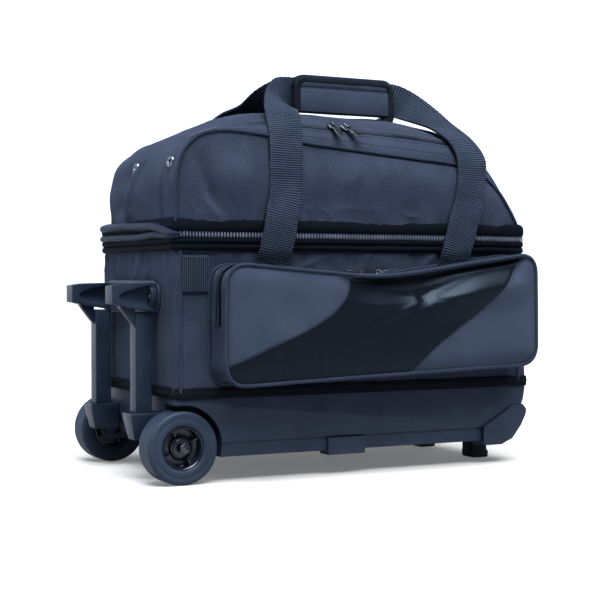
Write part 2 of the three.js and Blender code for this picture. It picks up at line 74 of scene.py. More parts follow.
# ---- sizes in millimetres about the middle of the bag, floor at 0 ----
HALF_X, HALF_Y, FRONT_R, REAR_R = 252.0, 143.0, 6.0, 35.0
WHEEL_X, WHEEL_Y, WHEEL_Z = -243.5, 127.0, 45.0
ZIP_Y = -127.0
FLARE, FLARE_X, FLARE_FOOT = 9.5, (225, 246), (62, 100)
LID_FRONT_Y, LID_BACK_Y = -141.6, 141.2
LID_REAR_Y, LID_REAR_DROP = 141.5, 35.0
POCKET_CORNERS = [(-208, 122, 26), (240, 138, 26), (238, 283, 28), (5, 250, 60), (-208, 268, 30)]
POCKET_BACK, POCKET_SPLIT, POCKET_FRONT = -143.2, -167.5, -195.0
ZIP_FOOT_Z = 192.0
DIMPLE_X, DIMPLE_Z = 66.0, 224.0
WEB_WIDTH, WEB_THICK, RIB = 44.0, 2.2, 2.9
STRAP_FOLD_Y, STRAP_FOLD_LOW, STRAP_FOLD_HIGH = 153.0, 268.0, 292.0
STRAP_FOOT_Z, STRAP_FOOT_Y = (260, 272, 285), (147.4, 149.8, 153.4)
GRIP_X0, GRIP_X1, GRIP_Y, GRIP_Z0, GRIP_Z1, GRIP_R = -51.0, 99.0, -50.0, 470.6, 518.5, 16.0
GRIP_HALF, GRIP_SEAM_Z = 9.6, 503.0
EYELET_Z = 392.0
DIVIDER_Y, DIVIDER_LOW, DIVIDER_HIGH, QUILT_PITCH = 127.0, 47.0, 267.0, 55.0
CUP_X, CUP_Z = 115.0, 44.4

# ---- camera and light, in metres and degrees unless said otherwise ----
CAMERA_MM, CAMERA_TURN, CAMERA_LENS = (-871.0, -1698.3, 250.4), (88.938, 0.0, -26.963), 82.2
KEY_TOWARDS, KEY_STRENGTH, KEY_SPREAD = (-0.08, -0.40, 0.91), 6.0, 50
RIM_PLACE, RIM_AIM, RIM_SIZE, RIM_POWER, RIM_COLOR = (-1.6, 1.3, 1.3), (0, 0, 0.30), 1.2, 9, (0.70, 0.84, 1.0)
SKY_COLOR = (1.0, 1.06, 1.22, 1)
SKY_HEIGHT = (0.24, 0.48, 0.86, 0.12)
SKY_SIDE, SKY_ROUND = (0.453, 0.891, 0), (-0.5, 0.25, 0.40, 1.0)
# FLOOR_GLOW is light the floor gives off itself: painted light that lifts the shadow on it.
FLOOR_REACH, FLOOR_DARK, FLOOR_LIGHT, FLOOR_GLOW = 30.0, (0.43,) * 3, (0.45,) * 3, 0.15
SHEEN = (0.55, 0.66, 0.92)


# ---- mesh helpers ----
def metres(points):
    """Bag millimetres to the frame's metres."""
    return np.asarray(points, float) * MM + ORIGIN


def xyz(x, y, z):
    """Points from three coordinates, each a number or an array."""
    return np.stack(np.broadcast_arrays(x, y, z), axis=-1).astype(float)


def closed(rows):
    """A line that ends where it starts."""
    return np.vstack([rows, rows[:1]])


def unit(vectors):
    vectors = np.asarray(vectors, float)
    return vectors / np.maximum(np.linalg.norm(vectors, axis=-1, keepdims=True), 1e-9)


def smooth(x, low, high):
    """Smooth step from 0 at low to 1 at high; low may be the larger."""
    t = np.clip((np.asarray(x, float) - low) / (high - low), 0, 1)
    return t * t * (3 - 2 * t)


def hump(x, centre, width):
    """Bell of height 1 about a centre."""
    return np.exp(-((np.asarray(x, float) - centre) / width) ** 2)


def pillow(distance, reach, power=2.2):
    """0 at an edge rising to 1 at reach from it, as padding does."""
    return 1 - (1 - np.clip(distance / reach, 0, 1)) ** power


def lengths(points):
    steps = np.linalg.norm(np.diff(points, axis=0), axis=1)
    return np.concatenate([[0], np.cumsum(steps)])


def resample(points, pitch, *channels):
    """Points every pitch along a line, its directions, and other channels read at the same places."""
    points = np.asarray(points, float)
    along = lengths(points)
    count = max(int(along[-1] / pitch), 2)
    at = np.linspace(0, along[-1], count + 1)
    read = lambda rows: np.stack([np.interp(at, along, rows[:, k]) for k in range(rows.shape[1])], axis=1)
    out = read(points)
    return [out, unit(np.gradient(out, axis=0))] + [read(np.asarray(c, float)) for c in channels]


def catmull(points, t):
    """Centripetal Catmull-Rom curve through the points, t from 0 to 1."""
    points = np.asarray(points, float)
    padded = np.vstack([[2 * points[0] - points[1]], points, [2 * points[-1] - points[-2]]])
    place = np.clip(t, 0, 1) * (len(points) - 1)
    i = np.clip(np.floor(place).astype(int), 0, len(points) - 2)
    w = (place - i)[:, None]
    p0, p1, p2, p3 = padded[i], padded[i + 1], padded[i + 2], padded[i + 3]
    gap = lambda a, b: np.sqrt(np.linalg.norm(a - b, axis=1, keepdims=True))
    d0, d1, d2 = gap(p0, p1), gap(p1, p2), gap(p2, p3)
    d1 = np.where(d1 < 1e-4, 1.0, d1)
    d0 = np.where(d0 < 1e-4, d1, d0)
    d2 = np.where(d2 < 1e-4, d1, d2)
    m1 = ((p1 - p0) / d0 - (p2 - p0) / (d0 + d1) + (p2 - p1) / d1) * d1
    m2 = ((p2 - p1) / d1 - (p3 - p1) / (d1 + d2) + (p3 - p2) / d2) * d1
    return p1 + m1 * w + (-3 * p1 + 3 * p2 - 2 * m1 - m2) * w ** 2 + (2 * p1 - 2 * p2 + m1 + m2) * w ** 3


def ripple(u, v, scale, seed, waves=7, stretch=1.0):
    """Smooth wavy field of about -1 to 1, its features about scale mm across."""
    rng = np.random.default_rng(seed)
    total = np.zeros(np.broadcast(u, v).shape)
    for _ in range(waves):
        angle = rng.uniform(0, math.pi)
        size = scale * rng.uniform(0.7, 1.7)
        phase = rng.uniform(0, TAU)
        total += np.sin((u * math.cos(angle) / stretch + v * math.sin(angle)) * TAU / size + phase)
    return total / math.sqrt(waves) / 1.6


def creases(u, v, scale, seed, stretch=1.0):
    """Ridged field of 0 to 1: narrow ridges between broad hollows, as in creased cloth."""
    bend = 0.35 * scale
    u2 = u + bend * ripple(u, v, scale * 2.2, seed + 1)
    v2 = v + bend * ripple(u, v, scale * 2.2, seed + 2)
    return np.clip(1 - np.abs(ripple(u2, v2, scale, seed, 4, stretch)) * 1.9, 0, 1) ** 1.6


class Soup:
    """Collects vertices in mm, faces and UVs in metres for one mesh."""

    def __init__(self):
        self.verts, self.faces, self.uvs, self.count = [], [], [], 0

    def add(self, verts, faces, uvs=None):
        verts = np.asarray(verts, float).reshape(-1, 3)
        self.verts.append(verts)
        for n, face in enumerate(faces):
            self.faces.append([int(i) + self.count for i in face])
            if uvs is None:
                self.uvs.extend([(verts[int(i)][0] * MM, verts[int(i)][2] * MM) for i in face])
            else:
                self.uvs.extend([tuple(pair) for pair in uvs[n]])
        self.count += len(verts)
        return self

    def grid(self, points, close_u=False, close_v=False, caps=False):
        """Points (nu, nv, 3) joined to quads whose normals are along u cross v."""
        nu, nv = points.shape[:2]
        index = np.arange(nu * nv).reshape(nu, nv)
        iu = np.arange(nu if close_u else nu - 1)
        iv = np.arange(nv if close_v else nv - 1)
        a, b = index[iu][:, iv], index[(iu + 1) % nu][:, iv]
        c, d = index[(iu + 1) % nu][:, (iv + 1) % nv], index[iu][:, (iv + 1) % nv]
        faces = np.stack([a, b, c, d], axis=-1).reshape(-1, 4)
        loop_u = np.concatenate([points, points[:1]]) if close_u else points
        loop_v = np.concatenate([points, points[:, :1]], axis=1) if close_v else points
        su = np.concatenate([[0], np.cumsum(np.linalg.norm(np.diff(loop_u, axis=0), axis=2).mean(1))]) * MM
        sv = np.concatenate([[0], np.cumsum(np.linalg.norm(np.diff(loop_v, axis=1), axis=2).mean(0))]) * MM
        U, V = np.meshgrid(iu, iv, indexing="ij")
        corner = lambda x, y: np.stack([su[x], sv[y]], axis=-1)
        uvs = np.stack([corner(U, V), corner(U + 1, V), corner(U + 1, V + 1), corner(U, V + 1)], axis=2)
        self.add(points, faces.tolist(), uvs.reshape(-1, 4, 2).tolist())
        if caps:
            base = self.count - nu * nv
            for ring in (index[0], index[-1][::-1]):
                self.faces.append([int(i) + base for i in ring])
                self.uvs.extend([(0.0, 0.0)] * len(ring))
        return self

    def stamp(self, template, origins, x, y, z):
        """Copies of a small mesh at many places, each with its own directions."""
        verts, faces = template
        placed = (origins[:, None] + verts[None, :, 0:1] * x[:, None]
                  + verts[None, :, 1:2] * y[:, None] + verts[None, :, 2:3] * z[:, None])
        for one in placed:
            self.add(one, faces, [[(0.0, 0.0)] * len(f) for f in faces])
        return self


def new_object(name, data):
    obj = bpy.data.objects.new(name, data)
    bpy.context.scene.collection.objects.link(obj)
    return obj


def piece(name, soup, material, body=None, replaces=(), outward=False, sharp=42, attribute=None):
    """One visible object: its mesh, material, body to ride on, and the CAD nodes it hides."""
    mesh = bpy.data.meshes.new(name)
    mesh.from_pydata(metres(np.concatenate(soup.verts)).tolist(), [], soup.faces)
    layer = mesh.uv_layers.new(name="UVMap")
    layer.data.foreach_set("uv", np.asarray(soup.uvs, np.float32).ravel())
    if attribute is not None:
        data = mesh.attributes.new("panel", "FLOAT", "POINT")
        data.data.foreach_set("value", np.asarray(attribute, np.float32).ravel())
    if outward:
        work = bmesh.new()
        work.from_mesh(mesh)
        bmesh.ops.recalc_face_normals(work, faces=work.faces)
        work.to_mesh(mesh)
        work.free()
    mesh.polygons.foreach_set("use_smooth", [True] * len(mesh.polygons))
    mesh.set_sharp_from_angle(angle=math.radians(sharp))
    mesh.materials.append(MATERIALS[material])
    obj = new_object(name, mesh)
    if replaces:
        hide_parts(*replaces)
    if body:
        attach(obj, body)
    return obj


def bend(obj, body, start, end):
    """Bakes the object's transform into its mesh; the fabric is not bent towards the other body."""
    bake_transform(obj)


def thicken(obj, thickness):
    solidify = obj.modifiers.new("thickness", "SOLIDIFY")
    solidify.thickness = thickness * MM
    solidify.offset = -1


def frames(points, ring):
    """Two cross directions along a line that don't twist."""
    if ring:
        tangent = unit(np.roll(points, -1, axis=0) - np.roll(points, 1, axis=0))
    else:
        tangent = unit(np.gradient(points, axis=0))
    side = np.zeros_like(points)
    first = np.array([0, 0, 1.0]) if abs(tangent[0][2]) < 0.9 else np.array([0, 1.0, 0])
    side[0] = unit(np.cross(tangent[0], first))
    for i in range(1, len(points)):
        side[i] = unit(side[i - 1] - tangent[i] * np.dot(side[i - 1], tangent[i]))
    return side, np.cross(tangent, side)


def tube(soup, points, radius, count=8, ring=False):
    """A round cord along a line, of one radius or one for each point."""
    points = np.asarray(points, float)
    side, up = frames(points, ring)
    radius = np.broadcast_to(np.asarray(radius, float), (len(points),))
    angle = -np.arange(count) * TAU / count
    shape = np.cos(angle)[None, :, None] * side[:, None] + np.sin(angle)[None, :, None] * up[:, None]
    return soup.grid(points[:, None] + shape * radius[:, None, None], ring, True, caps=not ring)


def lathe(soup, profile, centre, axis, segments=64):
    """Profile of (radius, along) pairs, closed, turned about an axis through centre."""
    axis = unit(axis)
    side = unit(np.cross(axis, [0.3, 0.2, 0.9]))
    up = np.cross(axis, side)
    profile = np.asarray(profile, float)
    angle = np.arange(segments) * TAU / segments
    ring = np.cos(angle)[:, None] * side + np.sin(angle)[:, None] * up
    points = np.asarray(centre, float) + profile[None, :, 1:2] * axis + profile[None, :, 0:1] * ring[:, None]
    return soup.grid(points, True, True)


def ring_faces(rings, sides):
    """Quads between rings of vertices that follow one another."""
    return [[r + i, r + (i + 1) % sides, r + sides + (i + 1) % sides, r + sides + i]
            for r in range(0, (rings - 1) * sides, sides) for i in range(sides)]


def capsule_template(length, radius, sides=5):
    """One stitch: a short thread along x whose ends dip into the cloth."""
    rings = [(-0.5, 0.3, -0.35), (-0.3, 1, 0.25), (0.3, 1, 0.25), (0.5, 0.3, -0.35)]
    angle = np.arange(sides) * TAU / sides
    verts = [[x * length, r * radius * math.cos(a), r * radius * math.sin(a) + lift * radius]
             for x, r, lift in rings for a in angle]
    ends = [list(range(sides))[::-1], [3 * sides + i for i in range(sides)]]
    return np.array(verts), ring_faces(4, sides) + ends


def block_template(x, y, z, edge=0.3):
    """Small block with softened top edges: x along, y across from 0, z up from 0."""
    rings = [(0, 0.0), (0, 0.65), (edge, 1.0)]
    verts = []
    for inset, height in rings:
        verts += [[-x / 2 + inset, inset, z * height], [x / 2 - inset, inset, z * height],
                  [x / 2 - inset, y - inset, z * height], [-x / 2 + inset, y - inset, z * height]]
    return np.array(verts, float), [[3, 2, 1, 0], [8, 9, 10, 11]] + ring_faces(3, 4)


def stitch_line(soup, points, normals, pitch=3.4, length=2.3, radius=0.36, zigzag=0.0):
    """Thread lying on the cloth: even stitches along a line, or a zigzag of that half-width."""
    at, along, up = resample(points, pitch, np.broadcast_to(normals, np.shape(points)))
    up = unit(up - along * np.sum(up * along, axis=1, keepdims=True))
    side = np.cross(up, along)
    if zigzag:
        tilt = np.where(np.arange(len(at)) % 2 == 0, 1.0, -1.0)[:, None]
        along = unit(along * pitch + side * tilt * zigzag * 2)
        side = np.cross(up, along)
    return soup.stamp(capsule_template(length, radius), at, along, side, up)


def line_distance(points, at):
    """Distance from many places to the nearest point of a line."""
    points, at = np.asarray(points, float), np.asarray(at, float)
    best = np.full(at.shape[:-1], 1e9)
    for a, b in zip(points[:-1], points[1:]):
        d = b - a
        t = np.clip(((at - a) @ d) / max(d @ d, 1e-9), 0, 1)
        best = np.minimum(best, np.linalg.norm(at - (a + t[..., None] * d), axis=-1))
    return best


# ---- materials ----
class Nodes:
    """Short calls for building one material's node tree."""

    def __init__(self, name):
        self.material = bpy.data.materials.new(name)
        self.material.use_nodes = True
        self.tree = self.material.node_tree
        self.shader = self.tree.nodes["Principled BSDF"]

    def add(self, kind, **values):
        node = self.tree.nodes.new(kind)
        for key, value in values.items():
            setattr(node, key, value)
        return node

    def link(self, source, target):
        self.tree.links.new(source, target)

    def put(self, socket, value):
        if isinstance(value, bpy.types.NodeSocket):
            self.link(value, socket)
        else:
            socket.default_value = value

    def math(self, operation, a, b=0.0, c=0.0):
        node = self.add("ShaderNodeMath", operation=operation)
        for socket, value in zip(node.inputs, (a, b, c)):
            self.put(socket, value)
        return node.outputs[0]

    def coordinates(self, kind):
        return self.add("ShaderNodeTexCoord").outputs[kind]

    def noise(self, vector, scale, detail=3.0, rough=0.55):
        node = self.add("ShaderNodeTexNoise")
        self.link(vector, node.inputs["Vector"])
        node.inputs["Scale"].default_value = scale
        node.inputs["Detail"].default_value = detail
        node.inputs["Roughness"].default_value = rough
        return node.outputs["Fac"]

    def ramp(self, value, low, high):
        node = self.add("ShaderNodeMapRange")
        self.link(value, node.inputs["Value"])
        node.inputs["From Min"].default_value = 0.3
        node.inputs["From Max"].default_value = 0.7
        node.inputs["To Min"].default_value = low
        node.inputs["To Max"].default_value = high
        return node.outputs["Result"]

    def mix(self, factor, a, b):
        node = self.add("ShaderNodeMix", data_type="RGBA")
        self.put(node.inputs[0], factor)
        self.put(node.inputs[6], a)
        self.put(node.inputs[7], b)
        return node.outputs[2]

    def bump(self, height, distance, strength=1.0, normal=None):
        node = self.add("ShaderNodeBump")
        self.link(height, node.inputs["Height"])
        node.inputs["Distance"].default_value = distance
        node.inputs["Strength"].default_value = strength
        if normal is not None:
            self.link(normal, node.inputs["Normal"])
        return node.outputs["Normal"]

    def waves(self, vector, period, direction):
        """sin along a direction of the vector, once every period metres."""
        dot = self.add("ShaderNodeVectorMath", operation="DOT_PRODUCT")
        self.link(vector, dot.inputs[0])
        dot.inputs[1].default_value = [component * TAU / period for component in direction]
        return self.math("SINE", dot.outputs["Value"])


    def surface(self, color, rough, normal):
        for socket, value in (("Base Color", color), ("Roughness", rough), ("Normal", normal)):
            self.link(value, self.shader.inputs[socket])


def rgba(color):
    return (*color, 1.0)


def finish(nodes, **constants):
    for key, value in constants.items():
        nodes.shader.inputs[key.replace("_", " ")].default_value = value
    return nodes.material


def plain_weave(nodes, vector, period):
    warp, weft = nodes.waves(vector, period, (1, 0, 0)), nodes.waves(vector, period, (0, 1, 0))
    return nodes.math("MULTIPLY", warp, weft)


def twill_weave(nodes, vector, period):
    ribs = nodes.waves(vector, period, (0.72, -0.69, 0))
    cross = nodes.waves(vector, period * 0.6, (0.69, 0.72, 0))
    return nodes.math("ADD", ribs, nodes.math("MULTIPLY", cross, 0.35))


def cloth(name, dark, light, rough=0.78, sheen=0.08, weave=plain_weave, period=0.0013, depth=0.00022,
          coords="UV", ribs=None):
    """Woven cloth: weave in the bump, mottled dye, a soft sheen, and with ribs painted shade in their
    grooves.
    """
    nodes = Nodes(name)
    vector = nodes.coordinates(coords)
    height = weave(nodes, vector, period)
    mottle = nodes.noise(vector, 620.0, 2.0, 0.7)
    patches = nodes.noise(vector, 22.0, 3.0)
    blend = nodes.math("ADD", nodes.math("MULTIPLY", nodes.ramp(mottle, 0, 1), 0.72),
                       nodes.math("MULTIPLY", nodes.ramp(patches, 0, 1), 0.28))
    tone_and_rib_shade = nodes.math("MULTIPLY_ADD", height, 0.18, blend)
    if ribs:
        ridge = nodes.waves(vector, ribs, (1, 0, 0))
        column = nodes.math("ABSOLUTE", nodes.waves(vector, 0.0126, (0, 1, 0)))
        ridge = nodes.math("MULTIPLY", ridge, nodes.math("MULTIPLY_ADD", column, 0.55, 0.45))
        # Painted shade: the colour darkens in the grooves between the ribs.
        tone_and_rib_shade = nodes.math("MULTIPLY_ADD", ridge, 0.55, tone_and_rib_shade)
    uneven = nodes.bump(mottle, 0.00035, 0.7)
    if ribs:
        uneven = nodes.bump(ridge, 0.0007, 1.0, uneven)
    nodes.surface(nodes.mix(tone_and_rib_shade, rgba(dark), rgba(light)), nodes.ramp(mottle, rough - 0.06, rough + 0.06),
                  nodes.bump(height, depth, 0.8, uneven))
    return finish(nodes, Sheen_Weight=sheen, Sheen_Roughness=0.4, Sheen_Tint=rgba(SHEEN),
                  Specular_IOR_Level=0.08)


def moulded(name, dark, light, rough, grain=1400.0, depth=0.00006, coat=0.0, specular=0.5):
    """Moulded plastic or rubber: fine spark grain, faint flow marks and rubbed patches."""
    nodes = Nodes(name)
    vector = nodes.coordinates("Object")
    spark = nodes.noise(vector, grain, 2.0, 0.6)
    marks = nodes.noise(vector, 26.0, 4.0, 0.6)
    nodes.surface(nodes.mix(nodes.ramp(marks, 0, 1), rgba(dark), rgba(light)),
                  nodes.ramp(marks, rough - 0.05, rough + 0.07), nodes.bump(spark, depth, 0.8))
    return finish(nodes, Coat_Weight=coat, Coat_Roughness=0.25, Specular_IOR_Level=specular)


def metal(name, dark, light, rough, grain=300.0):
    """Brushed or plated metal with faint marks."""
    nodes = Nodes(name)
    vector = nodes.coordinates("Object")
    marks = nodes.noise(vector, grain, 4.0, 0.65)
    nodes.surface(nodes.mix(nodes.ramp(marks, 0, 1), rgba(dark), rgba(light)),
                  nodes.ramp(marks, rough - 0.06, rough + 0.1), nodes.bump(marks, 0.00005, 0.5))
    return finish(nodes, Metallic=1.0)


NAVY = (0.0225, 0.0290, 0.0450), (0.0700, 0.0860, 0.1250)
MATERIALS = {
    "fabric": cloth("body_fabric", *NAVY),
    "grip": cloth("grip_fabric", (0.0300, 0.0390, 0.0600), (0.0920, 0.1130, 0.1640)),
    "trim": cloth("trim_fabric", (0.0035, 0.0052, 0.0090), (0.0100, 0.0140, 0.0230), 0.60, 0.0,
                  period=0.0011),
    "piping": cloth("piping_fabric", (0.022, 0.030, 0.048), (0.056, 0.072, 0.108), 0.5, 0.08, period=0.0010),
    "webbing": cloth("webbing", (0.010, 0.0145, 0.023), (0.078, 0.100, 0.145), 0.58, 0.06,
                     twill_weave, 0.0016, 0.0002, ribs=0.0029),
    "dark_web": cloth("dark_webbing", (0.0045, 0.0065, 0.0105), (0.0130, 0.0175, 0.0270), 0.7, 0.02,
                      twill_weave, 0.0014, 0.0002),
    "edge_web": cloth("edge_webbing", (0.010, 0.0140, 0.0220), (0.034, 0.044, 0.064), 0.6, 0.05,
                      twill_weave, 0.0014, 0.0002),
    "roll": cloth("roll_fabric", (0.015, 0.022, 0.037), (0.040, 0.054, 0.084), 0.38, 0.05, period=0.0011),
    "lining": cloth("lining_fabric", (0.012, 0.014, 0.018), (0.024, 0.027, 0.033), 0.8, 0.3, period=0.0009),
    "board": cloth("board_cover", (0.014, 0.016, 0.021), (0.026, 0.029, 0.036), 0.8, 0.3, period=0.0012,
                   coords="Object"),
    "foam": moulded("foam", (0.030, 0.032, 0.036), (0.055, 0.058, 0.064), 0.9, 700.0, 0.0006, specular=0.2),
    "thread": moulded("thread", (0.040, 0.052, 0.082), (0.085, 0.104, 0.150), 0.6, 1500.0),
    "dark_thread": moulded("dark_thread", (0.005, 0.007, 0.012), (0.010, 0.014, 0.022), 0.6, 1500.0),
    "coil": moulded("zip_coil", (0.090, 0.108, 0.145), (0.190, 0.220, 0.280), 0.30, 1500.0),
    "dark_coil": moulded("dark_zip_coil", (0.022, 0.029, 0.044), (0.060, 0.075, 0.105), 0.34, 1500.0),
    "tray": moulded("tray_plastic", (0.0260, 0.0370, 0.0580), (0.0370, 0.0510, 0.0780), 0.42, 1500.0, 0.00005,
                    specular=0.22),
    "handle": moulded("handle_plastic", (0.018, 0.028, 0.046), (0.030, 0.044, 0.070), 0.38, 1300.0, 0.00005,
                      specular=0.3),
    "rubber": moulded("wheel_rubber", (0.026, 0.038, 0.059), (0.038, 0.052, 0.078), 0.52, 1100.0, 0.00009,
                      specular=0.2),
    "foot": moulded("foot_rubber", (0.008, 0.010, 0.014), (0.014, 0.017, 0.023), 0.7, 1100.0, 0.0001),
    "hub": moulded("hub_plastic", (0.010, 0.016, 0.028), (0.017, 0.025, 0.043), 0.24, 1500.0, 0.00003, 0.3),
    "nickel": metal("nickel", (0.10, 0.115, 0.14), (0.27, 0.29, 0.33), 0.28),
    "gunmetal": metal("gunmetal", (0.10, 0.11, 0.13), (0.24, 0.26, 0.29), 0.28),
    "bolt": metal("bolt_steel", (0.045, 0.047, 0.055), (0.13, 0.135, 0.15), 0.2),
    "tube": metal("tube_metal", (0.26, 0.28, 0.31), (0.31, 0.33, 0.37), 0.3, 60.0),
}


def satin_material():
    """Pocket front: matte cloth at both sides, and smooth twill where the panel value is above 0."""
    nodes = Nodes("pocket_satin")
    vector = nodes.coordinates("UV")
    panel = nodes.add("ShaderNodeAttribute", attribute_name="panel").outputs["Fac"]
    mask = nodes.add("ShaderNodeMapRange")
    nodes.link(panel, mask.inputs["Value"])
    mask.inputs["From Min"].default_value = -0.25
    mask.inputs["From Max"].default_value = 0.25
    mask = mask.outputs["Result"]
    mottle = nodes.noise(vector, 900.0, 2.0, 0.7)
    patches = nodes.noise(vector, 24.0, 3.0)
    shade = nodes.math("MULTIPLY_ADD", nodes.ramp(mottle, 0, 1), 0.5, nodes.math("MULTIPLY", patches, 0.5))
    matte = nodes.mix(shade, rgba((0.0215, 0.0276, 0.0430)), rgba((0.0665, 0.0820, 0.1190)))
    twill = twill_weave(nodes, vector, 0.0034)
    satin = nodes.mix(nodes.math("MULTIPLY_ADD", twill, 0.3, 0.5), rgba((0.0006, 0.0012, 0.0028)),
                      rgba((0.0030, 0.0052, 0.0100)))
    rough = nodes.math("MULTIPLY_ADD", mask, -0.36, 0.80)
    plain = plain_weave(nodes, vector, 0.0013)
    height = nodes.math("ADD", nodes.math("MULTIPLY", plain, nodes.math("SUBTRACT", 1.0, mask)),
                        nodes.math("MULTIPLY", nodes.math("MULTIPLY", twill, 0.22), mask))
    uneven = nodes.bump(mottle, 0.0003, 0.6)
    nodes.surface(nodes.mix(mask, matte, satin), rough, nodes.bump(height, 0.0002, 0.8, uneven))
    return finish(nodes, Sheen_Weight=0.03, Sheen_Roughness=0.4, Sheen_Tint=rgba(SHEEN),
                  Specular_IOR_Level=0.42, Specular_Tint=rgba((0.62, 0.78, 1.0)))


MATERIALS["satin"] = satin_material()


# ---- outline of the bag in plan ----
def plan_outline(step=3.0):
    """Points and outward normals round the body, from the middle of the rear towards the wheels."""
    points, normals = [], []

    def line(a, b, normal):
        count = max(int(math.dist(a, b) / step), 2)
        for t in np.linspace(0, 1, count, endpoint=False):
            points.append([a[0] + (b[0] - a[0]) * t, a[1] + (b[1] - a[1]) * t])
            normals.append(normal)

    def arc(x, y, radius, start, end, count):
        for angle in np.radians(np.linspace(start, end, count, endpoint=False)):
            points.append([x + radius * math.cos(angle), y + radius * math.sin(angle)])
            normals.append([math.cos(angle), math.sin(angle)])

    rear_x, rear_y = HALF_X - REAR_R, HALF_Y - REAR_R
    front_x, front_y = HALF_X - FRONT_R, HALF_Y - FRONT_R
    line((0, HALF_Y), (-rear_x, HALF_Y), (0, 1))
    arc(-rear_x, rear_y, REAR_R, 90, 180, 18)
    line((-HALF_X, rear_y), (-HALF_X, -front_y), (-1, 0))
    arc(-front_x, -front_y, FRONT_R, 180, 270, 8)
    line((-front_x, -HALF_Y), (front_x, -HALF_Y), (0, -1))
    arc(front_x, -front_y, FRONT_R, 270, 360, 8)
    line((HALF_X, -front_y), (HALF_X, rear_y), (1, 0))
    arc(rear_x, rear_y, REAR_R, 0, 90, 18)
    line((rear_x, HALF_Y), (0, HALF_Y), (0, 1))
    return np.array(points), np.array(normals, float)


PLAN, PLAN_N = plan_outline()
PLAN_S = lengths(PLAN)


def around(offsets, heights):
    """Points (round, up, 3) at offsets out from the body and at heights; the far end flares at its foot."""
    offsets = np.broadcast_to(offsets, (len(PLAN), np.shape(offsets)[-1]))
    heights = np.broadcast_to(heights, offsets.shape)
    flat = PLAN[:, None] + PLAN_N[:, None] * offsets[..., None]
    flare = FLARE * smooth(flat[..., 0], *FLARE_X) * smooth(heights, 190, 108)
    flat[..., 0] += flare * smooth(heights, *FLARE_FOOT)
    return np.concatenate([flat, heights[..., None]], axis=2)


def around_line(offset, height, keep=None):
    """One line round the body and its outward normals: the whole ring, or the places kept."""
    points = around(np.reshape(offset, (-1, 1)), np.reshape(height, (-1, 1)))[:, 0]
    normals = xyz(PLAN_N[:, 0], PLAN_N[:, 1], 0)
    if keep is None:
        return closed(points), closed(normals)
    return points[keep], normals[keep]


# ---- ball compartment ----
def pocket_hidden(x, z):
    """1 where the front pocket covers the wall, so that the wall lies flat there."""
    return smooth(x, -215, -195) * (1 - smooth(x, 225, 243)) * smooth(z, 112, 126) * (1 - smooth(z, 240, 262))


def wall_relief(s, x, y, z):
    """How far the soft wall stands out: a low barrel, slack folds under the band, and small creases."""
    up = (z - 104) / 180
    swell = 2.2 * np.sin(np.clip(up, 0, 1) * math.pi) ** 0.7
    slack = 1.3 * ripple(s, z * 0.6, 95, 11)
    gather = np.sin(s / 5.1 + 2.2 * ripple(s, z, 60, 12)) * smooth(z, 246, 276) * (1 - smooth(z, 279, 284.3))
    sag = creases(s, z * 1.6, 58, 14, 1.6) * 1.5 * smooth(z, 225, 262)
    flat = pocket_hidden(x, z) * (y < -HALF_Y + 8)
    corner = np.minimum(smooth(np.abs(x), HALF_X - 3, HALF_X - 0.3), smooth(-y, HALF_Y - 3, HALF_Y - 0.3))
    relief = (swell + slack + 0.9 * gather + sag) * (1 - 0.85 * flat) * (1 - corner)
    return np.clip(relief, -1.0, 5.2) * smooth(z, 104, 118) * (1 - 0.6 * smooth(z, 281, 285))


def make_lower_shell():
    """The body's cloth wall: outer face, top edge and inner face."""
    outer = np.concatenate([np.linspace(103.8, 284, 62), [290, 296, 299.8]])
    inner = np.linspace(299.8, 104, 12)
    heights = np.concatenate([outer, inner])
    relief = wall_relief(PLAN_S[:, None], PLAN[:, :1], PLAN[:, 1:], outer[None])
    offsets = np.concatenate([relief, np.full((len(PLAN), len(inner)), -4.2)], axis=1)
    soup = Soup().grid(around(offsets, heights), True, True)
    piece("lower_walls", soup, "fabric", "bag", ["lower_shell"])


def make_lining():
    """Lining inside the ball compartment, down into the tray."""
    heights = np.concatenate([np.linspace(298, 60, 20), [60, 298]])
    offsets = np.concatenate([np.linspace(-5.2, -6.5, 20), [-7.2, -6.2]])
    relief = 1.4 * ripple(PLAN_S[:, None], heights[None], 70, 31)
    relief[:, -2:] = 0
    points = around(offsets[None] - np.abs(relief), heights)
    in_tray = (heights < 112)[None, :, None]
    points[..., :1] = np.where(in_tray, np.clip(points[..., :1], -185, 225), points[..., :1])
    soup = Soup().grid(points[:, ::-1], True, True)
    piece("compartment_lining", soup, "lining", "bag", outward=True)


def make_binding():
    """Edge binding over the tray's rim, with its zigzag seam."""
    shape = np.array([(0.3, 104.0), (2.4, 104.2), (3.0, 106.5), (2.7, 111.0), (3.0, 115.5), (2.2, 117.2),
                      (0.3, 117.6)])
    uneven = 0.6 * ripple(PLAN_S, PLAN_S * 0, 34, 41) + 0.4 * ripple(PLAN_S, PLAN_S * 0, 13, 42)
    offsets = shape[:, 0][None] + np.array([0, 0.4, 0.5, 0.3, 0.5, 0.4, 0])[None] * uneven[:, None]
    heights = shape[:, 1][None] + np.array([0.3, 0.5, 0.4, 0.3, 0.8, 1.0, 0.8])[None] * uneven[:, None]
    soup = Soup().grid(around(offsets, heights), True, True)
    piece("edge_binding", soup, "dark_web", "bag", ["binding_tape"])
    line, normals = around_line(3.1 + 0.4 * uneven, 111.0 + 0.5 * uneven)
    seam = stitch_line(Soup(), line, normals, pitch=2.9, length=4.4, radius=0.33, zigzag=2.2)
    piece("binding_zigzag", seam, "dark_thread", "bag")


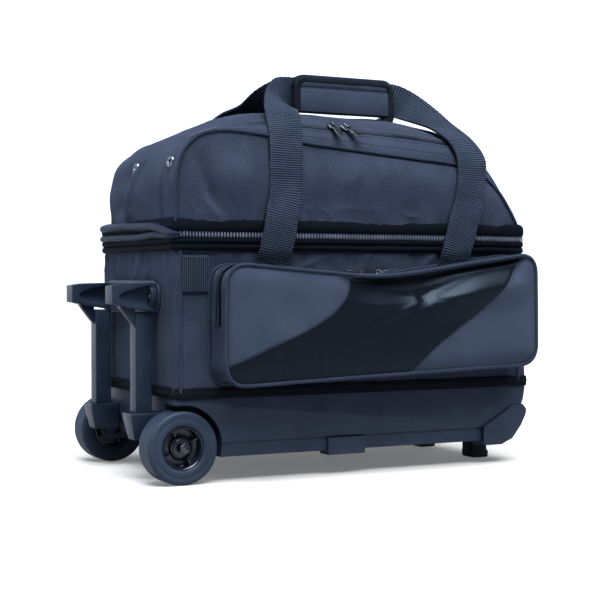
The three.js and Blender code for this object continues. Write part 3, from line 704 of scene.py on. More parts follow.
def band_piece(name, shape, body, replaces, seed, swell):
    """A tape round the bag with the given section, a little uneven."""
    shape = np.array(shape, float)
    uneven = 0.55 * ripple(PLAN_S, PLAN_S * 0, 46, seed) + 0.3 * ripple(PLAN_S, PLAN_S * 0, 17, seed + 1)
    weight = swell * np.clip(shape[:, 0] - 0.3, 0, 1)
    offsets = shape[:, 0][None] + weight[None] * (uneven[:, None] * 0.45)
    heights = shape[:, 1][None] + np.clip(weight, 0, 1)[None] * uneven[:, None] * 0.4
    soup = Soup().grid(around(offsets, heights), True, True)
    piece(name, soup, "trim", body, replaces)


def main_zip_teeth(keep, height, rise, name, body):
    """A row of coil teeth along the bag's outline, standing off in the rise direction."""
    line, normals = around_line(3.9, height, keep)
    line[:, 2] += 0.35 * ripple(lengths(line), 0 * line[:, 0], 60, 57)
    at, along, out = resample(line, 4.1, normals)
    up = np.repeat([[0, 0, rise]], len(at), axis=0)
    at = at + along * (0.92 * rise) - up * 0.7
    lean = unit(up + along * 0.45 * rise)
    soup = Soup().stamp(block_template(1.5, 4.0, 1.5, 0.3), at, unit(np.cross(lean, out)), lean, unit(out))
    piece(name, soup, "coil", body, outward=True)


def make_main_zip():
    """Tapes of the main zip round the bag, and its teeth at the front and the far end."""
    lower = [(0.3, 284.2), (3.6, 284.3), (5.3, 286.3), (5.5, 289.0), (4.6, 291.4), (3.2, 292.3), (4.6, 293.3),
             (5.6, 295.6), (5.4, 298.3), (4.2, 300.0), (3.7, 301.0), (3.7, 303.0), (0.3, 303.0)]
    upper = [(0.3, 303.8), (3.7, 303.8), (3.8, 306.4), (4.9, 307.6), (6.0, 310.6), (6.2, 314.5), (5.6, 318.6),
             (4.4, 320.8), (3.2, 322.0), (0.3, 323.6), (-15.0, 307.6), (-15.0, 305.4)]
    band_piece("lower_band", lower, "bag", ["lower_zip_tape"], 51, 1.0)
    band_piece("upper_band", upper, "lid", ["upper_zip_tape"], 55, 1.2)
    x, y = PLAN.T
    toothed = np.flatnonzero(((y < -HALF_Y + 1) | (x > HALF_X - 1) & (y < 104)) & (x > -249))
    main_zip_teeth(toothed, 303.2, -1, "main_zip_teeth_lower", "bag")
    main_zip_teeth(toothed, 303.7, 1, "main_zip_teeth_upper", "lid")


def make_end_rolls():
    """Two soft rolls of cloth over the main zip at the wheel end."""
    end = np.flatnonzero(smooth(-PLAN[:, 0], 246, 251) * smooth(HALF_Y - PLAN[:, 1], 8, 40) > 0.02)
    along = np.linspace(0, 1, len(end))
    taper = lambda end_rate: np.sqrt(np.clip(np.minimum(along * 14, (1 - along) * end_rate), 0.02, 1))
    rolls = Soup()
    line, _ = around_line(5.2, 312.0, end)
    line[:, 2] += 5.0 * smooth(along, 0.95, 0.35) - 7.5 * smooth(along, 0.72, 1.0)
    line[:, 2] += 0.8 * ripple(along * 250, along * 0, 55, 61)
    tube(rolls, line, 5.4 * taper(9), 14)
    line, _ = around_line(5.4, 303.5, end)
    line[:, 2] += 1.2 * ripple(along * 250, along * 0, 70, 62) - 1.5 * smooth(along, 0.7, 1.0)
    tube(rolls, line, 4.6 * taper(7), 14)
    piece("end_cover_rolls", rolls, "roll", "lid")


def make_corner_piping():
    """Two cords side by side up each front corner, with a seam beside each."""
    soup, seams = Soup(), Soup()
    z = np.linspace(112, 286, 60)
    for side in (-1, 1):
        for x, y in ((side * (HALF_X + 0.6), -HALF_Y + 5.0), (side * (HALF_X - 5.0), -HALF_Y - 0.6)):
            wave = 0.25 * ripple(z, z * 0, 70, int(600 + x + y))
            tube(soup, xyz(x + wave, y + wave, z), 2.6, 10)
        stitch_line(seams, xyz(side * (HALF_X + 0.9), -HALF_Y + 11.5, z), (side, 0, 0))
        stitch_line(seams, xyz(side * (HALF_X - 11.0), -HALF_Y - 1.6, z), (0, -1, 0))
    piece("corner_piping", soup, "piping", "bag")
    piece("corner_stitches", seams, "thread", "bag")


# ---- shoe lid ----
LID_OUTLINE = np.array([
    (-252, 301.1, 0), (-252, 312, 0), (-252, 326, 0), (-252, 347, 2), (-251, 372, 3), (-243, 402, 3),
    (-222, 423, 3), (-194, 430, 9), (-150, 428, 32), (-118, 424, 45.5), (-81, 418.5, 53.5), (-30, 414, 58),
    (30, 409, 62.5), (90, 404, 66), (148, 399, 61.5), (180, 391, 50), (210, 370, 32), (231, 344, 14),
    (244, 322, 0), (249, 301.1, 0)], float)


def lid_curve(count):
    """Outline points (x, z), outward normals and bulge along the lid's side view."""
    curve = catmull(LID_OUTLINE, np.linspace(0, 1, count))
    tangent = unit(np.gradient(curve[:, :2], axis=0))
    normal = np.stack([-tangent[:, 1], tangent[:, 0]], axis=1)
    normal[0], normal[-1] = (-1, 0), (1, 0)
    return curve[:, :2], normal, np.maximum(curve[:, 2], 0)


def lid_surface(curve, normal, bulge, sweep):
    """Points over the lid: sweep from -1 (front edge) over 0 (middle) to 1 (rear edge)."""
    angle = np.abs(sweep)[None] * math.pi / 2
    power = 2 + np.abs(normal[:, :1])
    rear_y = LID_REAR_Y * np.sin(angle) ** (2 / power)
    rear_off = -LID_REAR_DROP + (bulge[:, None] + LID_REAR_DROP) * np.cos(angle) ** (2 / power)
    front = sweep[None] <= 0
    y = np.where(front, -HALF_Y * np.sin(angle), rear_y)
    off = np.where(front, bulge[:, None] * np.cos(angle), rear_off)
    return xyz(curve[:, :1] + normal[:, :1] * off, y, curve[:, 1:] + normal[:, 1:] * off)


def lid_line(y, low_x, high_x, lift):
    """A line along the lid at one y, where the outline is high enough, with its normals."""
    curve, normal, bulge = lid_curve(400)
    keep = (curve[:, 0] > low_x) & (curve[:, 0] < high_x) & (curve[:, 1] > 330)
    level = math.sqrt(1 - (y / HALF_Y) ** 2)
    x, z = (curve + normal * (bulge * level)[:, None]).T
    slope = bulge * (-y / HALF_Y ** 2) / level
    out = unit(xyz(normal[:, 0], -slope, normal[:, 1]))
    return (xyz(x, y, z) + out * lift)[keep], out[keep]


CREASE = [(-62, 446), (-22, 412), (-4, 396), (22, 366), (40, 345), (24, 330), (-6, 318)]


def lid_relief(points):
    """How far the lid's cloth stands off its smooth shape."""
    x, y, z = points[..., 0], points[..., 1], points[..., 2]
    high = smooth(z, 396, 412) * (1 - smooth(x, 176, 200)) * smooth(x, -232, -210)
    folds = 1.5 * hump(y, ZIP_Y - 4.6, 1.5) + 1.7 * hump(y, ZIP_Y + 5.2, 1.6) - 0.7 * hump(y, ZIP_Y, 2.2)
    relief = folds * high
    behind = smooth(y, -119, -105) * (1 - smooth(y, 60, 110)) * smooth(z, 420, 438)
    relief += behind * (0.9 * creases(x + y * 0.9, y, 70, 71, 2.4) - 0.6)
    relief += -1.6 * (1 + ripple(x, y + z, 120, 72)) * 0.5 * smooth(y, -112, -90) * smooth(z, 335, 380)
    above_band = smooth(z, 325, 345)
    end = smooth(-x, 190, 225)
    d = line_distance(CREASE, np.stack([y, z], axis=-1))
    crease_y, crease_z = np.array(CREASE[::-1], float).T
    side = np.interp(z, crease_z, crease_y) - y
    strength = end * smooth(z, 322, 345)
    slack = smooth(-side, -2, 22) * (1 - smooth(y, 50, 118)) * smooth(z, 424, 378)
    crest = 4.6 * hump(side, 12, 12) * smooth(z, 430, 392)
    relief += strength * (crest - 3.2 * hump(d, 0, 4.6) - 8.5 * slack)
    relief += end * (-3.4 * hump(y, -96, 6) * smooth(z, 392, 356) + 1.6 * ripple(y, z, 60, 73) * above_band)
    relief += smooth(x, 195, 225) * 2.0 * ripple(y, z, 75, 74) * above_band
    relief += smooth(y, 90, 125) * 1.2 * ripple(x, z, 90, 75) * above_band
    return relief


def make_lid_cover():
    """One cloth over the lid's two ends and its top."""
    curve, normal, bulge = lid_curve(300)
    keep = curve[:, 1] > 306
    sweep = np.concatenate([np.linspace(-0.985, -0.55, 56), np.linspace(-0.54, 0, 40)[1:],
                            np.linspace(0, 1, 64)[1:]])
    points = lid_surface(curve[keep], normal[keep], bulge[keep], sweep)
    out = unit(np.cross(np.gradient(points, axis=0), np.gradient(points, axis=1)))
    points = points + out * lid_relief(points)[..., None]
    thicken(piece("lid_cover", Soup().grid(points), "fabric", "lid", ["lid_shell"]), 2.6)


def column_panel(lower, upper, x0, x1, columns, rows):
    """Grid x and z, each (columns, rows), between a lower and an upper edge given as functions of x."""
    t = (1 - np.cos(np.linspace(0, math.pi, columns))) / 2
    t = 0.35 * t + 0.65 * np.linspace(0, 1, columns)
    x = x0 + (x1 - x0) * t
    v = np.linspace(0, 1, rows)
    v = 0.3 * (1 - np.cos(v * math.pi)) / 2 + 0.7 * v
    low, high = lower(x)[:, None], upper(x)[:, None]
    return np.stack([np.repeat(x[:, None], rows, axis=1), low + (high - low) * v[None]], axis=2)


def edge_of(line):
    """Height of a line of (x, z) as a function of x."""
    return lambda x: np.interp(x, line[:, 0], line[:, 1])


def level_edge(height):
    return lambda x: np.full(np.shape(x), height)


def strap_cover(x):
    """1 under the two legs of the front strap, where the cloth is held flat."""
    return np.maximum(hump(x, -106, 26) ** 0.5, hump(x, 160, 26) ** 0.5)


def front_relief(x, z, d):
    """Puffed front of the lid: full above the middle, falling back below, pinched at the cord."""
    edge = pillow(d, 30, 2.3)
    full = 5.0 + 3.8 * hump(x, 30, 84) + 3.0 * hump(x, -185, 40) + 2.2 * hump(x, 205, 26)
    low = 0.45 + 0.85 * hump(z, 372, 30)
    relief = edge * full * low
    relief += edge * (2.0 * ripple(x, z * 1.2, 105, 81) + 0.8 * ripple(x, z, 44, 82))
    dimple = hump(x + 0.30 * (z - 360), -212, 8) * hump(z, 362, 38)
    relief += 4.2 * hump(x + 0.5 * (z - 335), -206, 8) * hump(z, 334, 15) * edge - 5.0 * dimple * edge
    streak = hump(x - 0.55 * (z - 380), -8, 9) * hump(z, 386, 22)
    streak = streak + hump(x - 0.2 * (z - 380), 26, 8) * hump(z, 380, 26)
    relief += 2.0 * streak * edge
    relief += 1.6 * creases(x, z * 0.7, 40, 83, 0.6) * smooth(z, 356, 326) * edge
    return relief - smooth(relief, 4, 12) * 3 * strap_cover(x)


def make_front_panel():
    """Puffed front of the lid, inside the piping."""
    curve, _, _ = lid_curve(400)
    top = curve[np.argsort(curve[:, 0])]
    top = top[(top[:, 1] > 340) | (top[:, 0] > 0)]
    top = np.vstack([[-252.0, 368.0], top])
    flat = column_panel(level_edge(308.0), edge_of(top), -251.6, 244.5, 190, 64)
    x, z = flat[..., 0], flat[..., 1]
    d = line_distance(curve[curve[:, 1] > 305], flat)
    y = LID_FRONT_Y - front_relief(x, z, d) - 0.8 * smooth(d, 0, 2)
    thicken(piece("lid_front", Soup().grid(xyz(x, y, z)), "fabric", "lid"), 2.2)


def make_rear_panel():
    """Flatter rear of the lid, with its piping."""
    curve, normal, _ = lid_curve(400)
    inner = curve - normal * LID_REAR_DROP
    inner = inner[(inner[:, 1] > 306) & (np.abs(inner[:, 0]) < 217.5)]
    inner = inner[np.argsort(inner[:, 0])]
    flat = column_panel(level_edge(306.0), edge_of(inner), 213.0, -216.5, 120, 40)
    x, z = flat[..., 0], flat[..., 1]
    edge = pillow(line_distance(inner[inner[:, 1] > 320], flat), 26)
    y = LID_BACK_Y + edge * (2.2 + 1.0 * ripple(x, z, 100, 91))
    thicken(piece("lid_rear", Soup().grid(xyz(x, y, z)), "fabric", "lid"), 2.2)
    line = xyz(inner[:, 0], LID_BACK_Y + 0.6, inner[:, 1])
    cord = tube(Soup(), resample(line, 4)[0], 2.0, 10)
    piece("lid_rear_piping", cord, "piping", "lid")


def make_lid_trim():
    """Piping, seams and the top zip's teeth on the lid."""
    seams, teeth = Soup(), Soup()
    curve, normal, bulge = lid_curve(400)
    keep = curve[:, 1] > 318
    x, z = (curve + normal * (0.6 + 0.03 * bulge[:, None]))[keep].T
    cord = tube(Soup(), resample(xyz(x, -HALF_Y, z), 3)[0], 2.2, 12)
    piece("lid_front_piping", cord, "piping", "lid")
    for y, lift in ((-139.8, 0.5), (-120.0, 0.4), (-112.5, 0.3)):
        points, out = lid_line(y, -228, 205, lift)
        stitch_line(seams, points, out)
    piece("lid_stitches", seams, "thread", "lid")
    for rise in (-1, 1):
        points, out = lid_line(ZIP_Y + 0.1 * rise, -226, 176, 0.1)
        at, along, up = resample(points, 1.9, out)
        up = unit(up)
        side = unit(np.cross(up, along)) * rise
        teeth.stamp(block_template(1.15, 2.4, 1.1, 0.28), at, along, side, up)
    piece("top_zip_teeth", teeth, "dark_coil", "lid", ["top_zip"], outward=True)


# ---- front pocket ----
def pocket_outline(step=3.0):
    """Closed outline (x, z) from the bottom left, and its outward normals."""
    points = []
    corners = [np.array(c, float) for c in POCKET_CORNERS]
    for i, corner in enumerate(corners):
        before, after = corners[i - 1][:2], corners[(i + 1) % len(corners)][:2]
        start = corner[:2] + unit(before - corner[:2]) * corner[2]
        end = corner[:2] + unit(after - corner[:2]) * corner[2]
        for t in np.linspace(0, 1, 16):
            points.append((1 - t) ** 2 * start + 2 * t * (1 - t) * corner[:2] + t * t * end)
    points.append(points[0])
    outline = resample(np.array(points), step)[0][:-1]
    tangent = unit(np.roll(outline, -1, axis=0) - np.roll(outline, 1, axis=0))
    return outline, np.stack([tangent[:, 1], -tangent[:, 0]], axis=1)


POCKET, POCKET_N = pocket_outline()
POCKET_S = lengths(POCKET)


def pocket_ring(offsets, ys):
    """Points (round, across, 3) at offsets from the pocket's outline and at y places."""
    offsets = np.broadcast_to(offsets, (len(POCKET), np.shape(ys)[-1]))
    flat = POCKET[:, None] + POCKET_N[:, None] * offsets[..., None]
    return xyz(flat[..., 0], ys, flat[..., 1])


def pocket_path(offset, y, lowest=None):
    """One line round the pocket with its outward normals: closed, or open above a height."""
    points = pocket_ring(offset, np.array([y]))[:, 0]
    normals = xyz(POCKET_N[:, 0], 0, POCKET_N[:, 1])
    if lowest is None:
        return closed(points), closed(normals)
    start = int(np.argmin(points[:, 2] + 1e-3 * points[:, 0]))
    points, normals = np.roll(points, -start, axis=0), np.roll(normals, -start, axis=0)
    keep = points[:, 2] > lowest
    return points[keep], normals[keep]


def gusset(ys, seed):
    """The pocket's side strip, round its outline at the y places, with its inner face."""
    inner = ys[::-1][::4]
    relief = 0.9 * ripple(POCKET_S[:, None], ys[None] * 2, 60, seed)
    relief = relief + 0.5 * ripple(POCKET_S[:, None], ys[None], 24, seed + 1)
    edge = np.sin(np.clip((ys - ys.min()) / (ys.max() - ys.min()), 0, 1) * math.pi) ** 0.5
    relief = relief * edge[None] - 0.6 * edge[None]
    offsets = np.concatenate([relief, np.full((len(POCKET), len(inner)), -2.8)], axis=1)
    return Soup().grid(pocket_ring(offsets, np.concatenate([ys, inner])), True, True)


def fold_flap(obj):
    """Cloth of the pocket's flap: its transform is baked into its mesh, and it does not bend at the fold
    line.
    """
    bend(obj, "pocket_flap", (0, POCKET_FRONT, 168), (0, POCKET_FRONT, 202))


def seam_lines():
    """The two curved seams on the pocket's front, from the top down."""
    left = [(-39, 256), (-44, 236), (-62, 212), (-96, 190), (-150, 167), (-212, 142)]
    right = [(224, 286), (196, 252), (150, 212), (110, 184), (78, 162), (40, 128)]
    return [catmull(line, np.linspace(0, 1, 60)) for line in (left, right)]


def pocket_front_relief(x, z, d, top):
    """Puff of the pocket's front: below its top edge the middle leans back, with creases from one dimple."""
    edge = pillow(d, 26)
    relief = edge * (5.2 + 1.8 * hump(z, 180, 40))
    relief += edge * (1.1 * ripple(x, z * 1.6, 150, 101) + 0.35 * ripple(x, z, 50, 102))
    below = top - z
    middle = smooth(x, -70, 0) * (1 - smooth(x, 200, 232))
    level = 27 + 8 * hump(x, DIMPLE_X, 60) + 2 * np.sin(x / 31.0)
    lean = smooth(below, level - 15, level + 11) - 1
    lip = 1.6 * hump(below, level - 15, 5) * hump(x, DIMPLE_X, 80)
    relief += middle * (11.8 * lean * smooth(below, 1, 6) + lip)
    relief += middle * 5.5 * (smooth(x, 62, 150) * smooth(below, 1, 12) * (1 - smooth(below, 36, 74)))
    across = x - DIMPLE_X
    rays = sum(hump(z - (DIMPLE_Z + k * across), 0, 4.2) * smooth(np.abs(across), 3, 16) * hump(across, 0, 62)
               for k in (-0.30, 0.10, 0.42))
    relief += 1.5 * rays * edge - 2.0 * hump(np.hypot(across, (z - DIMPLE_Z - 2) * 1.2), 0, 9)
    relief += 0.9 * creases(x, z * 0.5, 46, 104, 0.5) * smooth(z, 166, 140) * edge * hump(x, -90, 90)
    return relief


def pocket_edges():
    """The lower and the upper edge of the pocket's outline as functions of x."""
    low, high = POCKET[POCKET_N[:, 1] < -0.02], POCKET[POCKET_N[:, 1] > 0.02]
    return [edge_of(side[np.argsort(side[:, 0])]) for side in (low, high)]


def make_pocket():
    """Side strips and the three-part front of the pocket."""
    rear = gusset(np.linspace(POCKET_BACK, POCKET_SPLIT + 0.4, 17), 111)
    piece("pocket_gusset_rear", rear, "fabric", "bag", ["pocket_box"])
    front = gusset(np.linspace(POCKET_SPLIT - 0.4, POCKET_FRONT + 0.5, 17), 115)
    fold_flap(piece("pocket_gusset_front", front, "fabric", None,
                    ["pocket_lower", "pocket_flap"]))
    lower, upper = pocket_edges()
    flat = column_panel(lower, upper, POCKET[:, 0].min() + 0.35, POCKET[:, 0].max() - 0.35, 190, 76)
    x, z = flat[..., 0], flat[..., 1]
    left, right = seam_lines()
    d_left, d_right = line_distance(left, flat), line_distance(right, flat)
    groove = -0.9 * (hump(d_left, 0, 1.5) + hump(d_right, 0, 1.5))
    relief = pocket_front_relief(x, z, line_distance(closed(POCKET), flat), upper(x))
    y = POCKET_FRONT + 0.4 - relief - groove
    side_left = np.where(x < np.interp(z, left[::-1, 1], left[::-1, 0]), -1.0, 1.0) * d_left
    side_right = np.where(x > np.interp(z, right[::-1, 1], right[::-1, 0]), -1.0, 1.0) * d_right
    panel = np.minimum(side_left, side_right)
    points = xyz(x, y, z)
    obj = piece("pocket_front", Soup().grid(points), "satin", None, attribute=panel)
    thicken(obj, 2.0)
    fold_flap(obj)
    make_pocket_seams(points.reshape(-1, 3), left, right)


def make_pocket_seams(surface, left, right):
    """Two rows of thread along each curved seam, lying on the front's surface points."""
    seams = Soup()
    lower, upper = pocket_edges()
    for line, shift in ((left, (-2.08, 0.96)), (right, (2.08, -0.96))):
        for nudge, radius in (((0, 0), 0.42), (shift, 0.3)):
            at = resample(line + np.array(nudge), 3.0)[0]
            x, z = at.T
            at = at[(line_distance(closed(POCKET), at) > 2.5) & (z < upper(x)) & (z > lower(x))]
            gap = (surface[None, :, 0] - at[:, :1]) ** 2 + (surface[None, :, 2] - at[:, 1:]) ** 2
            y = surface[np.argmin(gap, axis=1), 1] - 0.45
            stitch_line(seams, xyz(at[:, 0], y, at[:, 1]), (0, -1, 0), 3.0, 2.2, radius)
    fold_flap(piece("pocket_seam_stitches", seams, "dark_thread", None))


def pocket_teeth(rise):
    """A row of coil teeth on one side of the pocket's zip."""
    line, normals = pocket_path(-0.1, POCKET_SPLIT + 0.1 * rise, ZIP_FOOT_Z)
    at, along, up = resample(line, 1.9, normals)
    across = np.repeat([[0, float(rise), 0]], len(at), axis=0)
    return Soup().stamp(block_template(1.15, 2.2, 1.0, 0.26), at, along, across, unit(up))


def make_pocket_trim():
    """Piping round the pocket's front and foot, the zip's folds and teeth, and the seam beside the piping."""
    wave = 0.5 * ripple(POCKET_S, POCKET_S * 0, 80, 121)
    border = pocket_ring((0.9 + wave)[:, None], np.array([POCKET_FRONT + 0.2]))[:, 0]
    cord = tube(Soup(), border, 2.5, 12, ring=True)
    fold_flap(piece("pocket_piping", cord, "piping", None))
    line, _ = pocket_path(0.5, POCKET_SPLIT - 7, ZIP_FOOT_Z)
    cover = tube(Soup(), resample(line, 4)[0], 1.5, 8)
    fold_flap(piece("pocket_zip_fold", cover, "trim", None))
    base = pocket_ring((1.4 + wave)[:, None], np.array([POCKET_BACK - 1.6]))[:, 0]
    cord = tube(Soup(), base, 2.2, 10, ring=True)
    line, _ = pocket_path(0.4, POCKET_SPLIT + 7, ZIP_FOOT_Z)
    tube(cord, resample(line, 4)[0], 1.3, 8)
    piece("pocket_rear_piping", cord, "piping", "bag")
    piece("pocket_teeth_rear", pocket_teeth(1), "dark_coil", "bag", outward=True)
    fold_flap(piece("pocket_teeth_front", pocket_teeth(-1), "dark_coil", None, outward=True))
    line, normals = pocket_path(0.2, POCKET_FRONT + 4.5)
    seam = stitch_line(Soup(), line, normals, 3.4, 2.3, 0.3)
    fold_flap(piece("pocket_edge_stitches", seam, "thread", None))


# ---- webbing ----
# Rows of a strap: place (x, y, z), then the direction across the webbing.
FRONT_STRAP = [
    (-128, -147.4, 260, 1, 0, 0), (-126, -149.8, 272, 1, 0, 0), (-124, -153.4, 285, 1, 0, 0),
    (-119, -154.2, 306, 1, 0, 0), (-115, -153, 327, 1, 0, 0), (-110, -150.2, 352, 1, 0, 0),
    (-109, -150.2, 390, 1, 0, 0), (-108, -148.5, 420, 1, -0.05, 0), (-105, -136, 448, 1, -0.2, 0),
    (-97, -112, 467, 0.95, -0.3, -0.2), (-84, -83, 482, 0.75, -0.15, -0.6),
    (-69, -57, 492.5, 0.3, 0, -0.95), (-56, -50.3, 494, 0, 0, -1), (-46, -50, 494, 0, 0, -1),
    (0, -50, 494, 0, 0, -1), (50, -50, 494, 0, 0, -1), (94, -50, 494, 0, 0, -1),
    (103, -50.3, 494, 0, 0, -1), (114, -55, 490, -0.3, -0.1, -0.95), (133, -74, 476, -0.6, -0.35, -0.7),
    (150, -102, 456, -0.85, -0.4, -0.3), (162, -130, 434, -1, -0.2, -0.1), (167, -147, 410, -1, 0, 0),
    (167, -149, 385, -1, 0, 0), (162, -149.8, 352, -1, 0, 0), (153, -153, 327, -1, 0, 0),
    (147, -154.2, 306, -1, 0, 0), (141, -153.4, 285, -1, 0, 0), (139, -149.8, 272, -1, 0, 0),
    (137, -147.4, 262, -1, 0, 0)]
REAR_STRAP = [
    (-127, 147.4, 260, 1, 0, 0), (-125, 149.8, 272, 1, 0, 0), (-124, 153.4, 285, 1, 0, 0),
    (-119, 154.2, 306, 1, 0, 0), (-115, 152.4, 327, 1, 0, 0), (-110, 148.6, 356, 1, 0, 0),
    (-107, 147, 392, 1, 0, 0), (-104, 137, 424, 1, 0, 0), (-100, 113, 446, 1, 0, 0.1),
    (-96, 78, 464, 1, 0, 0.1), (-90, 42, 473.5, 1, 0, 0), (-80, 8, 478, 0.97, 0, -0.15),
    (-69, -16, 488, 0.75, 0, -0.6), (-58, -31, 493, 0.25, 0, -0.97), (-46, -33.5, 494, 0, 0, -1),
    (24, -33.5, 494, 0, 0, -1), (96, -33.5, 494, 0, 0, -1), (110, -24, 492, -0.3, 0, -0.95),
    (124, 2, 487, -0.65, 0, -0.75), (138, 38, 481, -0.92, 0, -0.4), (150, 76, 470, -1, 0, 0),
    (158, 108, 452, -1, 0, 0), (163, 132, 426, -1, 0, 0), (166, 146.6, 392, -1, 0, 0),
    (162, 148.8, 356, -1, 0, 0), (153, 152.4, 327, -1, 0, 0), (147, 154.2, 306, -1, 0, 0),
    (141, 153.4, 285, -1, 0, 0), (139, 149.8, 272, -1, 0, 0), (137, 147.4, 260, -1, 0, 0)]
BOX_STITCH = [(263, 263, -17, 17), (275, 275, -17, 17), (263, 275, -17, -17), (263, 275, 17, 17),
              (263, 275, -17, 17), (275, 263, -17, 17)]


def webbing_section():
    """Half-widths and half-thicknesses round the webbing's section, with thick woven edges."""
    top = [(x, 1.0 + 0.15 * (abs(x) > 0.9)) for x in np.linspace(-1, 1, 15)]
    return np.array(top + [(x, -thick) for x, thick in top[::-1]])


def strap_bend(obj, side, body):
    """Webbing from its foot on the bag: its transform is baked into its mesh, and it does not bend to its own
    body.
    """
    bend(obj, body, (0, side * STRAP_FOLD_Y, STRAP_FOLD_LOW), (0, side * STRAP_FOLD_Y, STRAP_FOLD_HIGH))


def make_strap(name, rows):
    """Ribbed webbing along the rows, stitched down in a box at both feet."""
    rows = np.array(rows, float)
    t = np.linspace(0, 1, 900)
    centre = catmull(rows[:, :3], t)
    across = catmull(rows[:, 3:], t)
    centre, tangent, across = resample(centre, RIB / 4, across)
    across = unit(across - tangent * np.sum(across * tangent, axis=1, keepdims=True))
    normal = unit(np.cross(tangent, across))
    s = lengths(centre)
    section = webbing_section()
    rib = 0.22 * np.abs(np.sin(s * math.pi / RIB)) ** 0.7
    stagger = np.cos(section[:, 0] * 7.5)
    wave = rib[:, None] * (0.75 + 0.25 * stagger[None]) - 0.12
    edge = 1 + 0.010 * np.sin(s * TAU / (RIB * 2))[:, None]
    cup = 0.5 * (section[:, 0] ** 2 - 0.4)[None] * np.sin(s / 37.0)[:, None]
    lift = section[:, 1][None] * (WEB_THICK / 2 + wave) + cup
    points = (centre[:, None] + across[:, None] * (section[:, 0][None] * WEB_WIDTH / 2 * edge)[..., None]
              + normal[:, None] * lift[..., None])
    soup = Soup().grid(points, False, True, caps=True)
    side = -1 if centre[0][1] < 0 else 1
    strap_bend(piece(name, soup, "webbing", None, [name], outward=True, sharp=60), side, name)
    seams = Soup()
    for foot in (centre[:30], centre[-30:]):
        for z0, z1, x0, x1 in BOX_STITCH:
            z = np.linspace(z0, z1, 8)
            x = foot[:, 0].mean() + np.linspace(x0, x1, 8)
            y = np.interp(z, STRAP_FOOT_Z, STRAP_FOOT_Y) * side + side * (WEB_THICK / 2 + 0.25)
            stitch_line(seams, xyz(x, y, z), (0, side, 0), 3.0, 2.2, 0.32)
    strap_bend(piece(name + "_stitches", seams, "dark_thread", None), side, name)


def make_patch():
    """Short ribbed webbing stitched over the top left of the front wall."""
    x, z = np.meshgrid(np.linspace(-245.5, -211.5, 70), np.linspace(232.6, 278.5, 26), indexing="ij")
    rib = 0.55 * np.abs(np.sin((x - x[0]) * math.pi / 3.05)) ** 0.6
    y = -146.9 - rib - 0.4 * ripple(x, z, 40, 131)
    y = np.where((z < 234) | (z > 277), -145.6, y)
    patch = piece("patch_webbing", Soup().grid(xyz(x, y, z)), "webbing", "bag", ["webbing_patch"])
    thicken(patch, 1.6)
    seams = Soup()
    for height in (235.4, 275.6):
        stitch_line(seams, xyz(np.linspace(-244, -213, 20), -148.0, height), (0, -1, 0), 2.6, 2.0, 0.33)
    piece("patch_stitches", seams, "dark_thread", "bag")


# ---- carry grip ----
def grip_top(x):
    """Height of the grip's folded edge, with rounded ends."""
    reach = np.clip(GRIP_R - np.minimum(x - GRIP_X0, GRIP_X1 - x), 0, GRIP_R)
    return GRIP_Z1 - GRIP_R + np.sqrt(GRIP_R ** 2 - reach ** 2)


def make_grip_cushion():
    """Padded cloth folded over both straps, open below, with a seam under its crown."""
    t = np.linspace(0, 1, 90)
    t = 0.5 * t + 0.5 * (1 - np.cos(t * math.pi)) / 2
    x = (GRIP_X0 + (GRIP_X1 - GRIP_X0) * t)[:, None]
    v = np.linspace(-1, 1, 61)[None]
    top = grip_top(x)
    rise = 1 - np.abs(v)
    straight = np.clip(rise / 0.78, 0, 1)
    turn = np.clip((rise - 0.78) / 0.22, 0, 1) * math.pi / 2
    z = GRIP_Z0 + 0.6 + (top - GRIP_Z0 - GRIP_HALF - 0.6) * straight + GRIP_HALF * np.sin(turn)
    y = GRIP_HALF * np.cos(turn) * np.sign(v)
    ends = np.clip(np.minimum(x - GRIP_X0, GRIP_X1 - x) / 10, 0, 1) ** 0.6
    puff = (1.5 * np.sin(np.clip((z - GRIP_Z0) / (GRIP_SEAM_Z - GRIP_Z0), 0, 1) * math.pi) ** 0.6
            + 1.0 * np.sin(np.clip((z - GRIP_SEAM_Z) / (top - GRIP_SEAM_Z), 0, 1) * math.pi) ** 0.7)
    puff = (puff - 0.9 * hump(z, GRIP_SEAM_Z, 1.3) + 0.25 * ripple(x, z, 34, 141)) * ends
    outer = xyz(x, GRIP_Y + y + np.sign(v) * puff * np.cos(turn), z)
    inner = xyz(x, GRIP_Y + y * 0.52, GRIP_Z0 + 0.4 + (z - GRIP_Z0) * 0.965)
    points = np.concatenate([outer, inner[:, ::-1]], axis=1)
    soup = Soup().grid(points[::-1], False, True, caps=True)
    obj = piece("grip_cushion", soup, "grip", "front_strap", ["grip_pad"], outward=True)


def grip_edge():
    """The grip's edge seen from the front, from its lower left over the top to its lower right, as (x, z)."""
    corner = np.linspace(0, math.pi / 2, 14)
    edge = [(GRIP_X0, z0) for z0 in np.linspace(GRIP_Z0, GRIP_Z1 - GRIP_R, 14)[:-1]]
    edge += [(GRIP_X0 + GRIP_R * (1 - math.cos(a)), GRIP_Z1 - GRIP_R + GRIP_R * math.sin(a)) for a in corner]
    edge += [(x0, GRIP_Z1) for x0 in np.linspace(GRIP_X0 + GRIP_R, GRIP_X1 - GRIP_R, 50)[1:-1]]
    edge += [(GRIP_X1 - GRIP_R * (1 - math.sin(a)), GRIP_Z1 - GRIP_R + GRIP_R * math.cos(a)) for a in corner]
    edge += [(GRIP_X1, z0) for z0 in np.linspace(GRIP_Z1 - GRIP_R, GRIP_Z0, 14)[1:]]
    return resample(np.array(edge), 0.6)[0]


# Section of the grip's tape as (depth in from the edge, distance out from the middle).
GRIP_TAPE = [(-0.6, 7.2), (-0.7, 9.8), (0.8, 11.1), (4.0, 11.5), (7.6, 11.3), (8.3, 10.4), (8.0, 9.2),
             (3.0, 9.0)]


